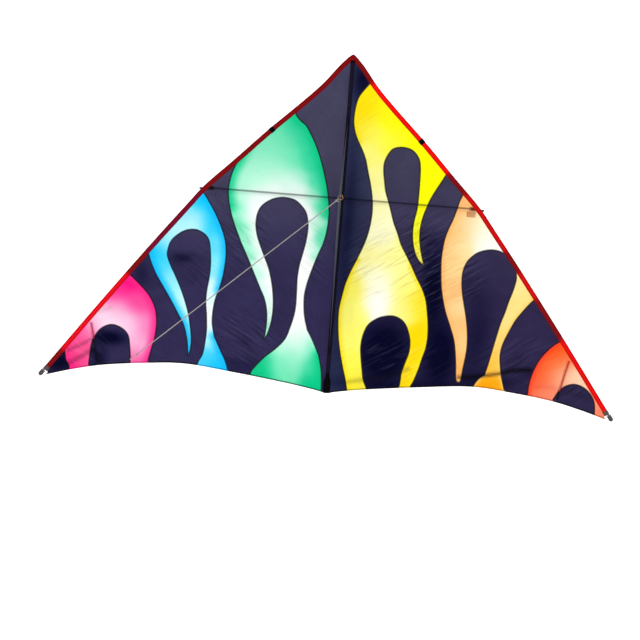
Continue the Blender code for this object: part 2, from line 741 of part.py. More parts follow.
def build_keel():
    top, tip, foot = keel_outline()
    outline = [top] + tip + [foot]
    half = KEEL_THICKNESS / 2
    rings = [[Vector((x, y, z)) for y, z in outline] for x in (-half, half)]
    panel = solid("keel_panel", *loft(rings), "keel_cloth", KEEL_HINGE, round_sides=False)
    hole_line = [Vector((-0.01, 0, 0)), Vector((0.01, 0, 0))]
    hole = solid("keel_hole", *rod(hole_line, EYELET_HOLE, 16), "keel_cloth", KEEL_HINGE)
    boolean(panel, hole, "DIFFERENCE")

    edge = [Vector((0, y, z)) for y, z in outline]
    outer_rows, inner_rows = [], []
    for k, here in enumerate(edge):
        before, after = edge[max(k - 1, 0)], edge[min(k + 1, len(edge) - 1)]
        out = (after - before).cross(Vector((1, 0, 0))).normalized()
        side = Vector((1, 0, 0))
        for rows, grown, lip in ((outer_rows, 0.0009, 0.0010), (inner_rows, 0.0003, 0.0003)):
            wide = half + grown
            section = [(-wide, -BINDING_DEPTH), (-wide, lip), (wide, lip), (wide, -BINDING_DEPTH)]
            rows.append([here + x * side + n * out for x, n in section])
    trim = 0.010  # the binding stops short of the seam at both ends
    for rows in (outer_rows, inner_rows):
        rows[0] = [p + trim * (q - p).normalized() for p, q in zip(rows[0], rows[1])]
        rows[-1] = [p + trim * (q - p).normalized() for p, q in zip(rows[-1], rows[-2])]
    solid("keel_binding", *channel(outer_rows, inner_rows), "keel_cloth", KEEL_HINGE, round_sides=False)


def build_tow_point():
    """The brass eyelet through the keel's tip."""
    flange, wall, lip, outer = 0.0086, 0.0055, KEEL_THICKNESS / 2 + GAP, EYELET_HOLE - GAP
    profile = [(wall, -0.0017), (flange, -0.0014), (flange, -lip), (outer, -lip),
               (outer, lip), (flange, lip), (flange, 0.0014), (wall, 0.0017)]
    solid("tow_eyelet", *spool(Vector(), Vector((1, 0, 0)), profile), "brass", KEEL_HINGE)


def ring_of(centre, first, second, radii, wire, steps, sides):
    """A closed loop of round wire: an ellipse with its two radii along two directions."""
    normal = first.cross(second)
    points, faces = [], []
    for k in range(steps):
        a = 2 * math.pi * k / steps
        at = centre + radii[0] * math.cos(a) * first + radii[1] * math.sin(a) * second
        heading = radii[1] * math.cos(a) * second - radii[0] * math.sin(a) * first
        points += circle(at, heading.cross(normal).normalized(), normal, wire, sides)
        for i in range(sides):
            j = (i + 1) % sides
            b = (k + 1) % steps * sides
            faces.append((k * sides + i, k * sides + j, b + j, b + i))
    return points, faces


def build_line():
    """The ring in the eyelet, and the taut line hitched to it, ending in a tied loop."""
    pull = LINE_RUN.normalized()
    wire_way = (Vector((1, 0, 0)) - pull.x * pull).normalized()
    ring_normal = pull.cross(wire_way)
    hitch = 2 * RING_RADIUS * pull
    ring_hinge = hinge_empty("ring_hinge", (0, 0, 0))
    line_hinge = hinge_empty("line_hinge", hitch)
    ring = ring_of(RING_RADIUS * pull, pull, wire_way, (RING_RADIUS, RING_RADIUS), RING_WIRE, 20, 8)
    solid("tow_ring", *ring, "steel", ring_hinge)

    loop = (0.0050, 0.0046)
    middle = hitch + 0.0016 * pull
    hitch_loop = ring_of(middle, pull, ring_normal, loop, HITCH_WIRE, 14, 6)
    solid("line_hitch", *hitch_loop, "line", line_hinge)

    knot = [(0, -KNOT_RADIUS), (0.6 * KNOT_RADIUS, -0.8 * KNOT_RADIUS), (KNOT_RADIUS, 0),
            (0.6 * KNOT_RADIUS, 0.8 * KNOT_RADIUS), (0, KNOT_RADIUS)]
    first = middle + (loop[0] + HITCH_WIRE + GAP + KNOT_RADIUS) * pull
    solid("tow_knot", *turned(first, pull, knot, 10), "line", line_hinge)
    loop_length, loop_half = 0.040, 0.006
    last = LINE_RUN - (loop_length + KNOT_RADIUS) * pull
    solid("end_knot", *turned(last, pull, knot, 10), "line", line_hinge)
    wire = LINE_DIAMETER / 2
    far = last + (KNOT_RADIUS + GAP + loop_length / 2) * pull
    end_loop = ring_of(far, pull, wire_way, (loop_length / 2 - wire, loop_half), wire, 18, 6)
    solid("end_loop", *end_loop, "line", line_hinge)

    start = first + (KNOT_RADIUS + GAP) * pull
    stop = last - (KNOT_RADIUS + GAP) * pull
    curve = bpy.data.curves.new("flying_line", "CURVE")
    curve.dimensions = "3D"
    curve.bevel_depth = wire
    curve.bevel_resolution = 2
    curve.use_fill_caps = True
    spline = curve.splines.new("POLY")
    spline.points.add(1)
    spline.points[0].co = (*start, 1)
    spline.points[1].co = (*stop, 1)
    link(bpy.data.objects.new("flying_line", curve), line_hinge, "line", True)


build_spine()
build_nose_patch()
build_tail_pocket()
build_sleeves()
build_spars()
build_bands()
build_tips()
build_spreader(build_fittings())
build_sail()
build_hems()
build_fitting_patches()
build_battens()
build_keel()
build_tow_point()
build_line()
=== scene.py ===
"""The looks of the delta kite: dark ripstop wings with translucent flame panels, red edges, rods and line.

Metres, +Z up, the tow point at the origin. "Depth" is the distance below the nose, down the spine.
"""

import math

import bpy
import numpy as np
from mathutils import Matrix, Vector
from mathutils.geometry import delaunay_2d_cdt


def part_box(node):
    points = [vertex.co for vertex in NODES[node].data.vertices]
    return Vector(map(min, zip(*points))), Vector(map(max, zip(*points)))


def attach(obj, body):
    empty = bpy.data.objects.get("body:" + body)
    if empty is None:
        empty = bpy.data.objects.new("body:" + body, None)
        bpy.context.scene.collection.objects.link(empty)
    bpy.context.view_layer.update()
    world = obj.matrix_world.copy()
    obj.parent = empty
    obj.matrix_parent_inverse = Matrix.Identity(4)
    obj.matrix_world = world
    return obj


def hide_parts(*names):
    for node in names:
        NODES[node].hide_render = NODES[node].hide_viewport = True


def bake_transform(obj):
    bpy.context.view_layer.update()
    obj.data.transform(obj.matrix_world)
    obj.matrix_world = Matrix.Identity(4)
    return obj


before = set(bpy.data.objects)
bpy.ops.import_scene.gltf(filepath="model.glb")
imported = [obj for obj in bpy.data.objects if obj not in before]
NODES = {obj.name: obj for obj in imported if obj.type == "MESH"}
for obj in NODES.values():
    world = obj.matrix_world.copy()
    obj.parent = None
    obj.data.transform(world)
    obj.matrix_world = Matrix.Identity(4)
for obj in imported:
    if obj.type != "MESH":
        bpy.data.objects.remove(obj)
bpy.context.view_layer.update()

# ---------------------------------------------------------------- the kite's shape, as in the CAD
SPINE_Y = 0.300
TOW_DEPTH = 0.705
TAIL_DEPTH = 1.650
LEADING_EDGE = [
    (0.0, 0.0), (0.054, 0.050), (0.133, 0.150), (0.230, 0.250), (0.385, 0.400), (0.530, 0.550),
    (0.666, 0.688), (0.755, 0.800), (0.910, 1.000), (1.136, 1.300), (1.395, 1.650), (1.434, 1.702),
]
TRAILING_EDGE = [
    (0.0, 1.651), (0.05, 1.638), (0.20, 1.615), (0.45, 1.586), (0.70, 1.563),
    (0.90, 1.576), (1.10, 1.601), (1.25, 1.635), (1.38, 1.672),
]
TIP_SWEEP = 0.100
UPPER_BILLOW = 0.012
LOWER_BILLOW = 0.070
SPREADER_TOUCH = 0.004
SAIL_INNER_X = 0.0085
SLEEVE_RADIUS = 0.0074
SLEEVE_WIDTH = 0.024
SLEEVE_START_DEPTH = 0.004
SLEEVE_END_DEPTH = 1.645
BAND_DEPTH = 0.393
LINE_RUN = Vector((-0.888, -0.700, -0.837))
LINE_DIAMETER = 0.0045
RING_RADIUS = 0.0135
RING_TO_KNOT = 0.0016 + 0.0050 + 0.00125 + 0.0003 + 0.005  # past the hitch loop to the knot's middle
KEEL_TOP_DEPTH, KEEL_FOOT_DEPTH = 0.310, 1.460

# ---------------------------------------------------------------- colours, as sRGB shares of 255
# Slate and plum each have a darker copy for the right wing: painted shade on that wing.
SLATE, SLATE_RIGHT = (66, 63, 88), (60, 57, 82)
RIGHT_SPINE_SHADE = (34, 44, 74)  # painted shade on the dark cloth beside the spine, on the right wing
# The last of these is the colour of the painted shade in pools on the plain cloth.
PLUM, PLUM_RIGHT, POOL_SHADE = (45, 40, 75), (42, 35, 68), (0, 0, 34)
OUTLINE = (5, 4, 12)
FLAME_LEVEL = 0.955
EDGE_TINTS = {
    "green": (0, 200, 132), "blue": (0, 186, 255), "pink": (255, 36, 136), "yellow": (255, 226, 10),
    "orange": (255, 184, 108), "orange_arm": (255, 205, 105), "red": (255, 58, 38),
}
# The sleeve's red beside each panel: painted light from behind, darker beside the dark cloth and tinted by
# the panel's own colour.
SLEEVE_TINTS = {
    "green": (146, 0, 8), "blue": (132, 0, 40), "pink": (238, 0, 22), "yellow": (252, 2, 0),
    "orange": (214, 0, 0), "orange_arm": (214, 0, 0), "red": (236, 0, 0), "dark": (142, 0, 6),
}

# Each flame is a loop of strokes, in mm as (x, depth). An "outer" stroke has a saturated band beside it, an
# "inner" one doesn't, and an "open" one lies outside the cloth. "Band" is that band's width.
FLAMES = {
    "green": {
        "band": 58,
        "strokes": [
            ("outer", [(-235, 270), (-255, 307), (-232, 338), (-200, 362), (-180, 392), (-152, 440),
                       (-128, 492), (-108, 545), (-90, 600), (-75, 655), (-62, 720), (-55, 780)]),
            ("inner", [(-55, 780), (-58, 850), (-70, 920), (-95, 990), (-120, 1070), (-137, 1140),
                       (-143, 1200), (-135, 1280), (-115, 1350)]),
            ("inner", [(-115, 1350), (-85, 1400), (-50, 1470)]),
            ("outer", [(-50, 1470), (-30, 1560), (-22, 1700)]),
            ("open", [(-22, 1700), (-380, 1700)]),
            ("outer", [(-380, 1700), (-378, 1590), (-350, 1540)]),
            ("inner", [(-350, 1540), (-310, 1495), (-260, 1450), (-220, 1400), (-200, 1340), (-188, 1290),
                       (-182, 1240), (-183, 1170), (-185, 1100), (-180, 1040), (-168, 980), (-157, 920),
                       (-153, 850), (-165, 790), (-190, 755), (-225, 728), (-270, 719), (-310, 723),
                       (-350, 740), (-385, 770), (-402, 810), (-405, 860), (-395, 910), (-375, 960),
                       (-350, 1015), (-325, 1070), (-305, 1140), (-293, 1210), (-290, 1270), (-295, 1330),
                       (-308, 1385), (-322, 1410)]),
            ("inner", [(-322, 1410), (-317, 1340), (-320, 1280), (-335, 1220), (-365, 1160), (-400, 1090),
                       (-430, 1030), (-470, 955)]),
            ("inner", [(-470, 955), (-500, 890), (-525, 830), (-540, 780)]),
            ("outer", [(-540, 780), (-545, 760), (-552, 700), (-545, 640), (-532, 595), (-515, 560),
                       (-490, 500)]),
            ("open", [(-490, 500), (-235, 270)]),
        ],
    },
    "blue": {
        "band": 45,
        "strokes": [
            ("outer", [(-700, 680), (-672, 722), (-635, 775), (-600, 830), (-565, 900), (-545, 960),
                       (-538, 1030), (-545, 1120), (-560, 1190)]),
            ("inner", [(-560, 1190), (-575, 1240), (-582, 1300), (-580, 1360), (-565, 1420)]),
            ("outer", [(-565, 1420), (-530, 1485), (-505, 1530), (-490, 1570), (-480, 1620)]),
            ("open", [(-480, 1620), (-645, 1620)]),
            ("inner", [(-645, 1620), (-638, 1555), (-618, 1510), (-610, 1450), (-607, 1390), (-612, 1320),
                       (-620, 1260), (-620, 1200), (-612, 1130), (-611, 1060), (-622, 970), (-640, 935),
                       (-670, 915), (-700, 908), (-740, 915), (-780, 940), (-810, 975), (-822, 1020),
                       (-820, 1050), (-800, 1095), (-775, 1140), (-745, 1200), (-720, 1260), (-700, 1320),
                       (-683, 1400), (-677, 1450), (-680, 1500), (-688, 1522)]),
            ("outer", [(-688, 1522), (-692, 1490), (-700, 1440), (-720, 1375), (-750, 1325), (-790, 1260),
                       (-830, 1200), (-870, 1140), (-900, 1080), (-916, 1040), (-945, 990)]),
            ("open", [(-945, 990), (-700, 680)]),
        ],
    },
    "pink": {
        "band": 50,
        "strokes": [
            ("outer", [(-1040, 1090), (-1000, 1145), (-950, 1190), (-900, 1240), (-865, 1300),
                       (-852, 1370), (-855, 1440), (-865, 1490), (-880, 1560), (-890, 1640)]),
            ("open", [(-890, 1640), (-970, 1640)]),
            ("inner", [(-970, 1640), (-968, 1565), (-975, 1500), (-985, 1450), (-1010, 1420),
                       (-1050, 1402), (-1085, 1404), (-1120, 1425), (-1145, 1460), (-1160, 1500),
                       (-1165, 1550), (-1168, 1600), (-1172, 1680)]),
            ("open", [(-1172, 1680), (-1270, 1700)]),
            ("outer", [(-1270, 1700), (-1262, 1625), (-1280, 1590), (-1288, 1550), (-1310, 1490)]),
            ("open", [(-1310, 1490), (-1040, 1090)]),
        ],
    },
    "yellow": {
        "band": 30,
        "strokes": [
            ("outer", [(125, 85), (88, 138), (50, 190), (35, 230), (28, 280), (28, 330), (38, 375),
                       (55, 415)]),
            ("inner", [(55, 415), (80, 460), (100, 505), (115, 560), (132, 620), (143, 670), (150, 720),
                       (151, 770), (145, 830), (132, 890), (115, 940), (95, 990)]),
            ("outer", [(95, 990), (70, 1050), (50, 1110), (38, 1170), (28, 1240), (30, 1310), (38, 1380),
                       (52, 1450), (70, 1520), (88, 1580), (110, 1680)]),
            ("open", [(110, 1680), (210, 1680)]),
            ("inner", [(210, 1680), (193, 1612), (175, 1570), (165, 1520), (155, 1460), (150, 1410),
                       (155, 1360), (172, 1310), (200, 1280), (240, 1258), (290, 1249), (330, 1260),
                       (358, 1285), (377, 1325), (388, 1370), (386, 1420), (372, 1470), (358, 1520),
                       (355, 1560), (348, 1650)]),
            ("open", [(348, 1650), (395, 1650)]),
            ("outer", [(395, 1650), (405, 1592), (420, 1560), (440, 1500), (455, 1440), (468, 1390),
                       (472, 1330), (468, 1270), (460, 1220), (448, 1160), (425, 1105), (395, 1055),
                       (365, 1000)]),
            ("inner", [(365, 1000), (335, 950), (305, 900), (285, 850), (262, 800), (245, 750),
                       (228, 700), (210, 650), (200, 600), (192, 550), (193, 510), (205, 475), (225, 445),
                       (250, 433), (280, 430), (315, 437), (340, 455), (360, 485), (368, 530), (370, 600),
                       (370, 660), (368, 720), (358, 780), (355, 830), (360, 880), (370, 920), (385, 955),
                       (405, 980), (424, 992)]),
            ("inner", [(424, 992), (412, 955), (400, 910), (392, 860), (392, 810), (400, 760), (412, 720),
                       (430, 670), (455, 620), (480, 575), (496, 545), (530, 490)]),
            ("open", [(530, 490), (125, 85)]),
        ],
    },
    "orange": {
        "band": 30,
        "strokes": [
            ("outer", [(600, 590), (580, 645), (570, 670), (560, 710), (545, 760), (530, 800), (515, 850),
                       (508, 900), (505, 960), (510, 1030), (517, 1090), (530, 1150), (548, 1210),
                       (575, 1275), (600, 1340), (612, 1400), (620, 1460), (625, 1520), (632, 1545),
                       (640, 1549)]),
            ("inner", [(640, 1549), (651, 1537), (657, 1480), (665, 1420), (668, 1360), (662, 1290),
                       (650, 1225), (635, 1165), (622, 1110), (615, 1060), (615, 1010), (628, 965),
                       (650, 935), (680, 910), (720, 895), (755, 891), (790, 897), (840, 920)]),
            ("open", [(840, 920), (600, 590)]),
        ],
    },
    "orange_arm": {
        "band": 22,
        "strokes": [
            ("outer", [(1020, 1060), (975, 1112), (950, 1140), (920, 1180), (890, 1225), (865, 1280),
                       (845, 1330), (835, 1370), (833, 1410), (840, 1460), (848, 1500), (860, 1540),
                       (885, 1620)]),
            ("open", [(885, 1620), (700, 1620)]),
            ("outer", [(700, 1620), (712, 1568), (725, 1540), (745, 1515), (765, 1500)]),
            ("inner", [(765, 1500), (775, 1460), (785, 1410), (795, 1360), (805, 1310), (820, 1240),
                       (835, 1190), (850, 1130), (865, 1080), (875, 1030), (874, 1000), (868, 950)]),
            ("open", [(868, 950), (1020, 1060)]),
        ],
    },
    "red": {
        "band": 30,
        "strokes": [
            ("outer", [(1150, 1270), (1120, 1303), (1090, 1325), (1060, 1355), (1030, 1395), (1010, 1435),
                       (995, 1480), (985, 1530), (983, 1585), (982, 1650)]),
            ("open", [(982, 1650), (1095, 1660)]),
            ("inner", [(1095, 1660), (1106, 1603), (1117, 1578), (1133, 1550), (1155, 1528), (1180, 1515),
                       (1210, 1510), (1245, 1520), (1275, 1540), (1297, 1567), (1311, 1600), (1316, 1650),
                       (1318, 1700)]),
            ("open", [(1318, 1700), (1460, 1720), (1150, 1270)]),
        ],
    },
}
# The panels' dyed shading, in mm: (x, depth, reach, colour)
SHADING = {
    "green": [
        (-250, 360, 50, (20, 200, 145)), (-400, 500, 80, (128, 228, 188)),
        (-300, 440, 80, (104, 226, 176)), (-240, 520, 50, (96, 228, 176)),
        (-330, 580, 70, (166, 244, 208)), (-420, 600, 60, (180, 246, 214)),
        (-330, 660, 60, (236, 255, 246)), (-240, 660, 50, (226, 254, 242)),
        (-215, 440, 30, (24, 206, 148)), (-185, 500, 30, (22, 206, 148)), (-165, 560, 30, (40, 212, 156)),
        (-140, 620, 30, (66, 220, 168)), (-200, 610, 30, (150, 242, 204)),
        (-120, 660, 25, (84, 226, 174)), (-480, 700, 50, (176, 246, 214)),
        (-420, 730, 40, (252, 255, 254)), (-330, 700, 40, (254, 255, 255)),
        (-200, 720, 40, (252, 255, 254)), (-150, 700, 30, (168, 246, 212)),
        (-155, 790, 30, (254, 255, 255)), (-100, 750, 30, (84, 228, 174)),
        (-143, 880, 25, (254, 255, 255)), (-115, 840, 25, (196, 250, 226)),
        (-85, 880, 30, (92, 230, 178)), (-155, 970, 30, (255, 255, 255)),
        (-125, 950, 25, (206, 252, 232)), (-105, 990, 20, (150, 244, 206)),
        (-82, 930, 20, (104, 234, 184)), (-150, 1050, 40, (252, 255, 254)),
        (-160, 1130, 60, (252, 255, 254)), (-160, 1280, 60, (254, 255, 255)),
        (-420, 810, 30, (254, 255, 255)), (-460, 820, 30, (204, 251, 230)),
        (-500, 800, 30, (126, 238, 192)), (-500, 870, 30, (104, 232, 182)),
        (-410, 900, 25, (250, 255, 253)), (-450, 910, 30, (146, 240, 200)),
        (-380, 970, 30, (240, 255, 248)), (-430, 1000, 30, (150, 242, 204)),
        (-350, 1050, 30, (250, 255, 253)), (-390, 1090, 30, (192, 250, 226)),
        (-320, 1150, 30, (252, 255, 254)), (-355, 1170, 25, (200, 250, 232)),
        (-310, 1280, 40, (226, 253, 242)), (-310, 1380, 40, (168, 244, 212)),
        (-180, 1370, 40, (244, 255, 250)), (-220, 1430, 40, (204, 252, 230)),
        (-140, 1420, 40, (214, 253, 236)), (-90, 1440, 30, (120, 238, 192)),
        (-170, 1500, 50, (158, 244, 208)), (-240, 1520, 50, (128, 238, 192)),
        (-310, 1520, 30, (20, 204, 142)), (-200, 1580, 50, (110, 230, 178)),
        (-320, 1580, 50, (0, 196, 132)), (-80, 1530, 40, (60, 218, 162)), (-60, 1610, 50, (0, 198, 134)),
    ],
    "blue": [
        (-690, 760, 40, (0, 196, 255)), (-620, 860, 50, (34, 204, 255)), (-740, 830, 50, (140, 232, 255)),
        (-800, 900, 50, (186, 244, 255)), (-700, 880, 40, (198, 248, 255)),
        (-860, 970, 50, (146, 232, 255)), (-890, 1030, 40, (0, 190, 255)),
        (-860, 1100, 50, (62, 212, 255)), (-800, 1170, 50, (150, 238, 255)),
        (-740, 1280, 50, (196, 248, 255)), (-700, 1420, 50, (156, 238, 255)),
        (-590, 970, 40, (92, 220, 255)), (-580, 1080, 40, (130, 234, 255)),
        (-590, 1200, 40, (218, 252, 255)), (-600, 1330, 50, (250, 255, 255)),
        (-585, 1430, 40, (188, 246, 255)), (-570, 1520, 50, (64, 208, 255)),
        (-530, 1560, 40, (0, 190, 255)),
    ],
    "pink": [
        (-1000, 1170, 50, (255, 0, 124)), (-1060, 1230, 50, (255, 50, 144)),
        (-950, 1280, 50, (255, 70, 152)), (-1050, 1330, 50, (255, 168, 208)),
        (-910, 1400, 50, (255, 118, 180)), (-980, 1400, 50, (255, 214, 238)),
        (-1080, 1385, 50, (255, 236, 248)), (-1150, 1400, 40, (255, 196, 226)),
        (-940, 1500, 50, (255, 178, 214)), (-940, 1560, 40, (255, 84, 160)),
        (-1200, 1450, 50, (255, 100, 164)), (-1240, 1520, 50, (255, 62, 138)),
        (-1200, 1570, 50, (255, 84, 154)), (-1250, 1600, 40, (255, 26, 124)),
    ],
    "yellow": [
        (60, 250, 50, (255, 216, 0)), (100, 170, 50, (255, 232, 0)), (70, 350, 50, (255, 230, 40)),
        (160, 270, 50, (255, 244, 16)), (240, 320, 50, (255, 250, 0)), (130, 380, 50, (255, 248, 92)),
        (220, 400, 50, (255, 250, 60)), (340, 420, 50, (255, 252, 0)), (420, 500, 60, (255, 255, 0)),
        (400, 650, 50, (255, 252, 0)), (380, 850, 50, (248, 246, 30)), (400, 950, 40, (252, 242, 84)),
        (110, 480, 50, (255, 250, 122)), (160, 600, 50, (255, 251, 152)), (180, 720, 60, (255, 252, 184)),
        (200, 850, 60, (255, 253, 204)), (140, 980, 50, (255, 249, 158)), (280, 980, 60, (255, 251, 150)),
        (200, 1080, 60, (255, 255, 222)), (80, 1120, 50, (255, 244, 92)),
        (220, 1190, 50, (255, 255, 244)), (340, 1100, 50, (255, 249, 130)),
        (420, 1180, 50, (255, 224, 24)), (90, 1250, 50, (255, 249, 118)),
        (340, 1210, 50, (255, 249, 138)), (440, 1350, 50, (255, 218, 0)), (410, 1480, 50, (255, 222, 12)),
        (380, 1560, 40, (250, 212, 8)), (100, 1380, 50, (255, 248, 108)), (110, 1500, 50, (255, 246, 80)),
        (140, 1590, 40, (250, 232, 58)),
    ],
    "orange": [
        (600, 680, 40, (255, 186, 118)), (560, 800, 50, (255, 193, 116)), (540, 950, 50, (255, 198, 126)),
        (630, 790, 50, (255, 224, 170)), (700, 800, 50, (255, 249, 222)), (730, 860, 50, (255, 255, 244)),
        (600, 900, 40, (255, 224, 160)), (580, 1000, 40, (255, 213, 142)),
        (560, 1120, 50, (255, 193, 120)), (610, 1180, 40, (255, 213, 150)),
        (600, 1280, 50, (255, 189, 116)), (640, 1350, 50, (255, 203, 130)),
        (640, 1480, 50, (255, 188, 100)),
    ],
    "orange_arm": [
        (900, 1050, 50, (255, 229, 150)), (920, 1120, 50, (255, 223, 130)),
        (860, 1200, 50, (255, 223, 134)), (830, 1330, 50, (255, 213, 114)),
        (810, 1440, 50, (255, 196, 72)), (800, 1550, 40, (255, 162, 8)),
    ],
    "red": [
        (1100, 1320, 50, (255, 72, 8)), (1050, 1400, 50, (255, 78, 20)), (1020, 1500, 50, (255, 88, 42)),
        (1100, 1450, 50, (255, 130, 82)), (1160, 1380, 50, (255, 108, 58)),
        (1160, 1480, 50, (255, 182, 146)), (1220, 1470, 50, (255, 220, 186)),
        (1080, 1560, 50, (255, 134, 102)), (1270, 1520, 50, (255, 198, 158)),
        (1320, 1600, 50, (255, 150, 112)), (1360, 1660, 50, (255, 120, 92)),
    ],
}

# Painted shade in pools on the plain cloth: (x, depth, radius across, radius down, strength)
SHADE_POOLS = [
    (0.48, 1.14, 0.055, 0.19, 1.2), (0.54, 1.42, 0.08, 0.18, 1.3), (0.26, 1.43, 0.13, 0.15, 1.5),
    (0.46, 0.93, 0.05, 0.09, 0.40), (0.71, 1.32, 0.07, 0.22, 0.55), (0.06, 0.12, 0.05, 0.10, 0.9),
    (0.78, 1.53, 0.14, 0.035, 0.8), (-0.75, 1.05, 0.06, 0.025, 0.6), (-1.08, 1.465, 0.08, 0.032, 1.3),
    (-0.94, 1.14, 0.04, 0.06, 0.4), (-1.31, 1.60, 0.08, 0.06, 1.1), (-1.12, 1.57, 0.04, 0.07, 0.7),
    (0.30, 1.59, 0.25, 0.03, 0.8), (0.04, 0.85, 0.03, 0.35, 0.45), (0.60, 1.58, 0.20, 0.03, 0.7),
    (1.00, 1.47, 0.10, 0.02, 0.4), (-0.42, 1.55, 0.10, 0.05, 0.3),
]
# Creases: the line they follow, their width, how deep they are, and how much painted shade they lay on the
# cloth
CREASES = [
    ([(0.10, 1.586), (0.22, 1.560), (0.30, 1.538), (0.39, 1.500)], 0.011, 0.004, 0.34),
    ([(0.64, 1.522), (0.70, 1.516), (0.77, 1.503), (0.845, 1.486), (0.90, 1.468), (0.985, 1.456)],
     0.009, 0.006, 0.95),
    ([(-0.60, 0.760), (-0.56, 0.800), (-0.50, 0.865), (-0.42, 0.955)], 0.006, 0.002, 0.14),
    ([(-0.42, 1.020), (-0.37, 1.040), (-0.30, 1.075)], 0.010, 0.002, 0.10),
    ([(-1.275, 1.545), (-1.220, 1.515), (-1.160, 1.480)], 0.009, 0.003, 0.45),
    ([(-1.265, 1.605), (-1.210, 1.570), (-1.150, 1.530)], 0.012, 0.003, 0.50),
    ([(-1.130, 1.340), (-1.080, 1.320)], 0.010, 0.002, 0.15),
    ([(-0.55, 1.360), (-0.46, 1.410), (-0.36, 1.490)], 0.010, 0.0025, 0.14),
    ([(-0.50, 1.440), (-0.42, 1.480), (-0.36, 1.520)], 0.010, 0.0025, 0.14),
    ([(1.02, 1.540), (1.10, 1.535), (1.20, 1.560), (1.31, 1.575)], 0.012, 0.002, 0.12),
]
# Where the cloth is drawn into fine wrinkles, with painted shade in their troughs and painted highlight on
# their crests: (x, depth, reach across, reach down, strength)
FANS = [
    (0.40, 0.98, 0.22, 0.22, 1.0), (0.17, 1.02, 0.12, 0.18, 0.8), (0.62, 1.04, 0.10, 0.13, 0.75),
    (0.30, 1.46, 0.25, 0.11, 0.5), (0.92, 1.42, 0.20, 0.12, 0.4), (-0.46, 0.92, 0.13, 0.14, 0.6),
    (-0.42, 1.42, 0.16, 0.13, 0.55), (-1.20, 1.52, 0.10, 0.10, 0.6), (-0.13, 0.98, 0.08, 0.28, 0.35),
    (1.20, 1.50, 0.10, 0.10, 0.35), (-0.65, 1.10, 0.14, 0.12, 0.3), (0.10, 0.45, 0.06, 0.30, 0.3),
]
CALM = 0.05  # how strongly the rest of the cloth is wrinkled
FAN_SLOPE = math.radians(33)  # which way the wrinkles run
WRINKLE_LENGTH, WRINKLE_WIDTH = 0.15, 0.0115
SPREADER_LIFT = 0.004  # the height of the spreader's shadow on the cloth

WORLD_LIGHT = 0.49  # the light that the world gives
WORLD_SEEN = 1.0  # and how bright it is behind the kite
NOSE_CLEAR = 0.0016  # how far each sleeve stays from the middle
# The nose shield from its top edge down: (share of the way, how far it stands before the spine's axis)
NOSE_FOLD = ((0.0, 0.0), (0.02, -0.0024), (0.3, -0.0030), (0.7, -0.0030), (0.98, -0.0024), (1.0, -0.0014))
PATCH_DIM = (0.90, 0.80, 0.80)
SEAM_BAND = 0.0042  # the mesh has a row of points this far to each side of a seam
SHADE_SPREAD = 1.2  # how far beyond its reach a spot of shading blends
# How much darker the hem is than the cloth beside it, by panel: painted shade of the doubled cloth against
# the light from behind.
HEM_DIMS = {"dark": 0.25, "green": 0.62, "yellow": 0.92, "pink": 0.97}


# ---------------------------------------------------------------- curves and the cloth's surface
def smooth(points, per_span=12):
    """Points along a Catmull-Rom curve through the given ones."""
    given = np.array(points, float)
    ends = np.vstack([2 * given[0] - given[1], given, 2 * given[-1] - given[-2]])
    made = []
    for a, b, c, d in zip(ends[:-3], ends[1:-2], ends[2:-1], ends[3:]):
        for k in range(per_span):
            u = k / per_span
            made.append(0.5 * (2 * b + (c - a) * u + (2 * a - 5 * b + 4 * c - d) * u**2
                               + (3 * b - a - 3 * c + d) * u**3))
    return np.vstack([made, given[-1]])


def lengths(line):
    return np.concatenate([[0], np.cumsum(np.linalg.norm(np.diff(line, axis=0), axis=1))])


def resampled(line, step):
    run = lengths(line)
    even = np.linspace(0, run[-1], max(2, round(run[-1] / step) + 1))
    return np.stack([np.interp(even, run, line[:, k]) for k in range(line.shape[1])], axis=1)


def inward_of(line):
    run = np.gradient(line, axis=0)
    run /= np.linalg.norm(run, axis=1)[:, None]
    return np.stack([-run[:, 1], run[:, 0]], axis=1)


EDGE = resampled(smooth(LEADING_EDGE), 0.010)
AXIS = EDGE + SLEEVE_RADIUS * inward_of(EDGE)
SEAM = EDGE + SLEEVE_WIDTH * inward_of(EDGE)
HEM = smooth(TRAILING_EDGE)
AXIS_RUN = lengths(AXIS)


def spar_sweep(depth):
    beyond = np.clip((np.asarray(depth, float) - TOW_DEPTH) / (SLEEVE_END_DEPTH - TOW_DEPTH), 0, None)
    return TIP_SWEEP * beyond**1.7


def trailing_depth(x):
    return np.interp(np.abs(x), HEM[:, 0], HEM[:, 1])


def distance_to(points, line):
    """(distance, place along) of points from a polyline, for arrays of (x, depth)."""
    nearest = np.full(len(points), 9.0)
    along = np.zeros(len(points))
    run = lengths(line)
    for k in range(len(line) - 1):
        a, b = line[k], line[k + 1]
        d = b - a
        size = max(d @ d, 1e-12)
        t = np.clip(((points - a) @ d) / size, 0, 1)
        gap = np.linalg.norm(points - a - t[:, None] * d, axis=1)
        better = gap < nearest
        nearest[better] = gap[better]
        along[better] = (run[k] + t * math.sqrt(size))[better]
    return nearest, along


CREASE_LINES = [(resampled(smooth(line), 0.012), width, deep, dark) for line, width, deep, dark in CREASES]


def ripple(x, depth):
    """The cloth's small waves: slow pulls from spine and fitting, and a flutter near the trailing edge."""
    near_edge = np.exp(-(((trailing_depth(x) - depth) / 0.10) ** 2))
    flutter = 0.0035 * near_edge * np.sin(2 * math.pi * x / 0.23 + 1.3 * np.sin(5 * x) + 0.6)
    slant = 28 * (depth - 0.75 * np.abs(x)) + 1.7 * np.sin(3.1 * x)
    pulls = 0.0032 * np.sin(slant) * np.clip(depth - 0.25, 0, 0.5)
    return flutter + pulls


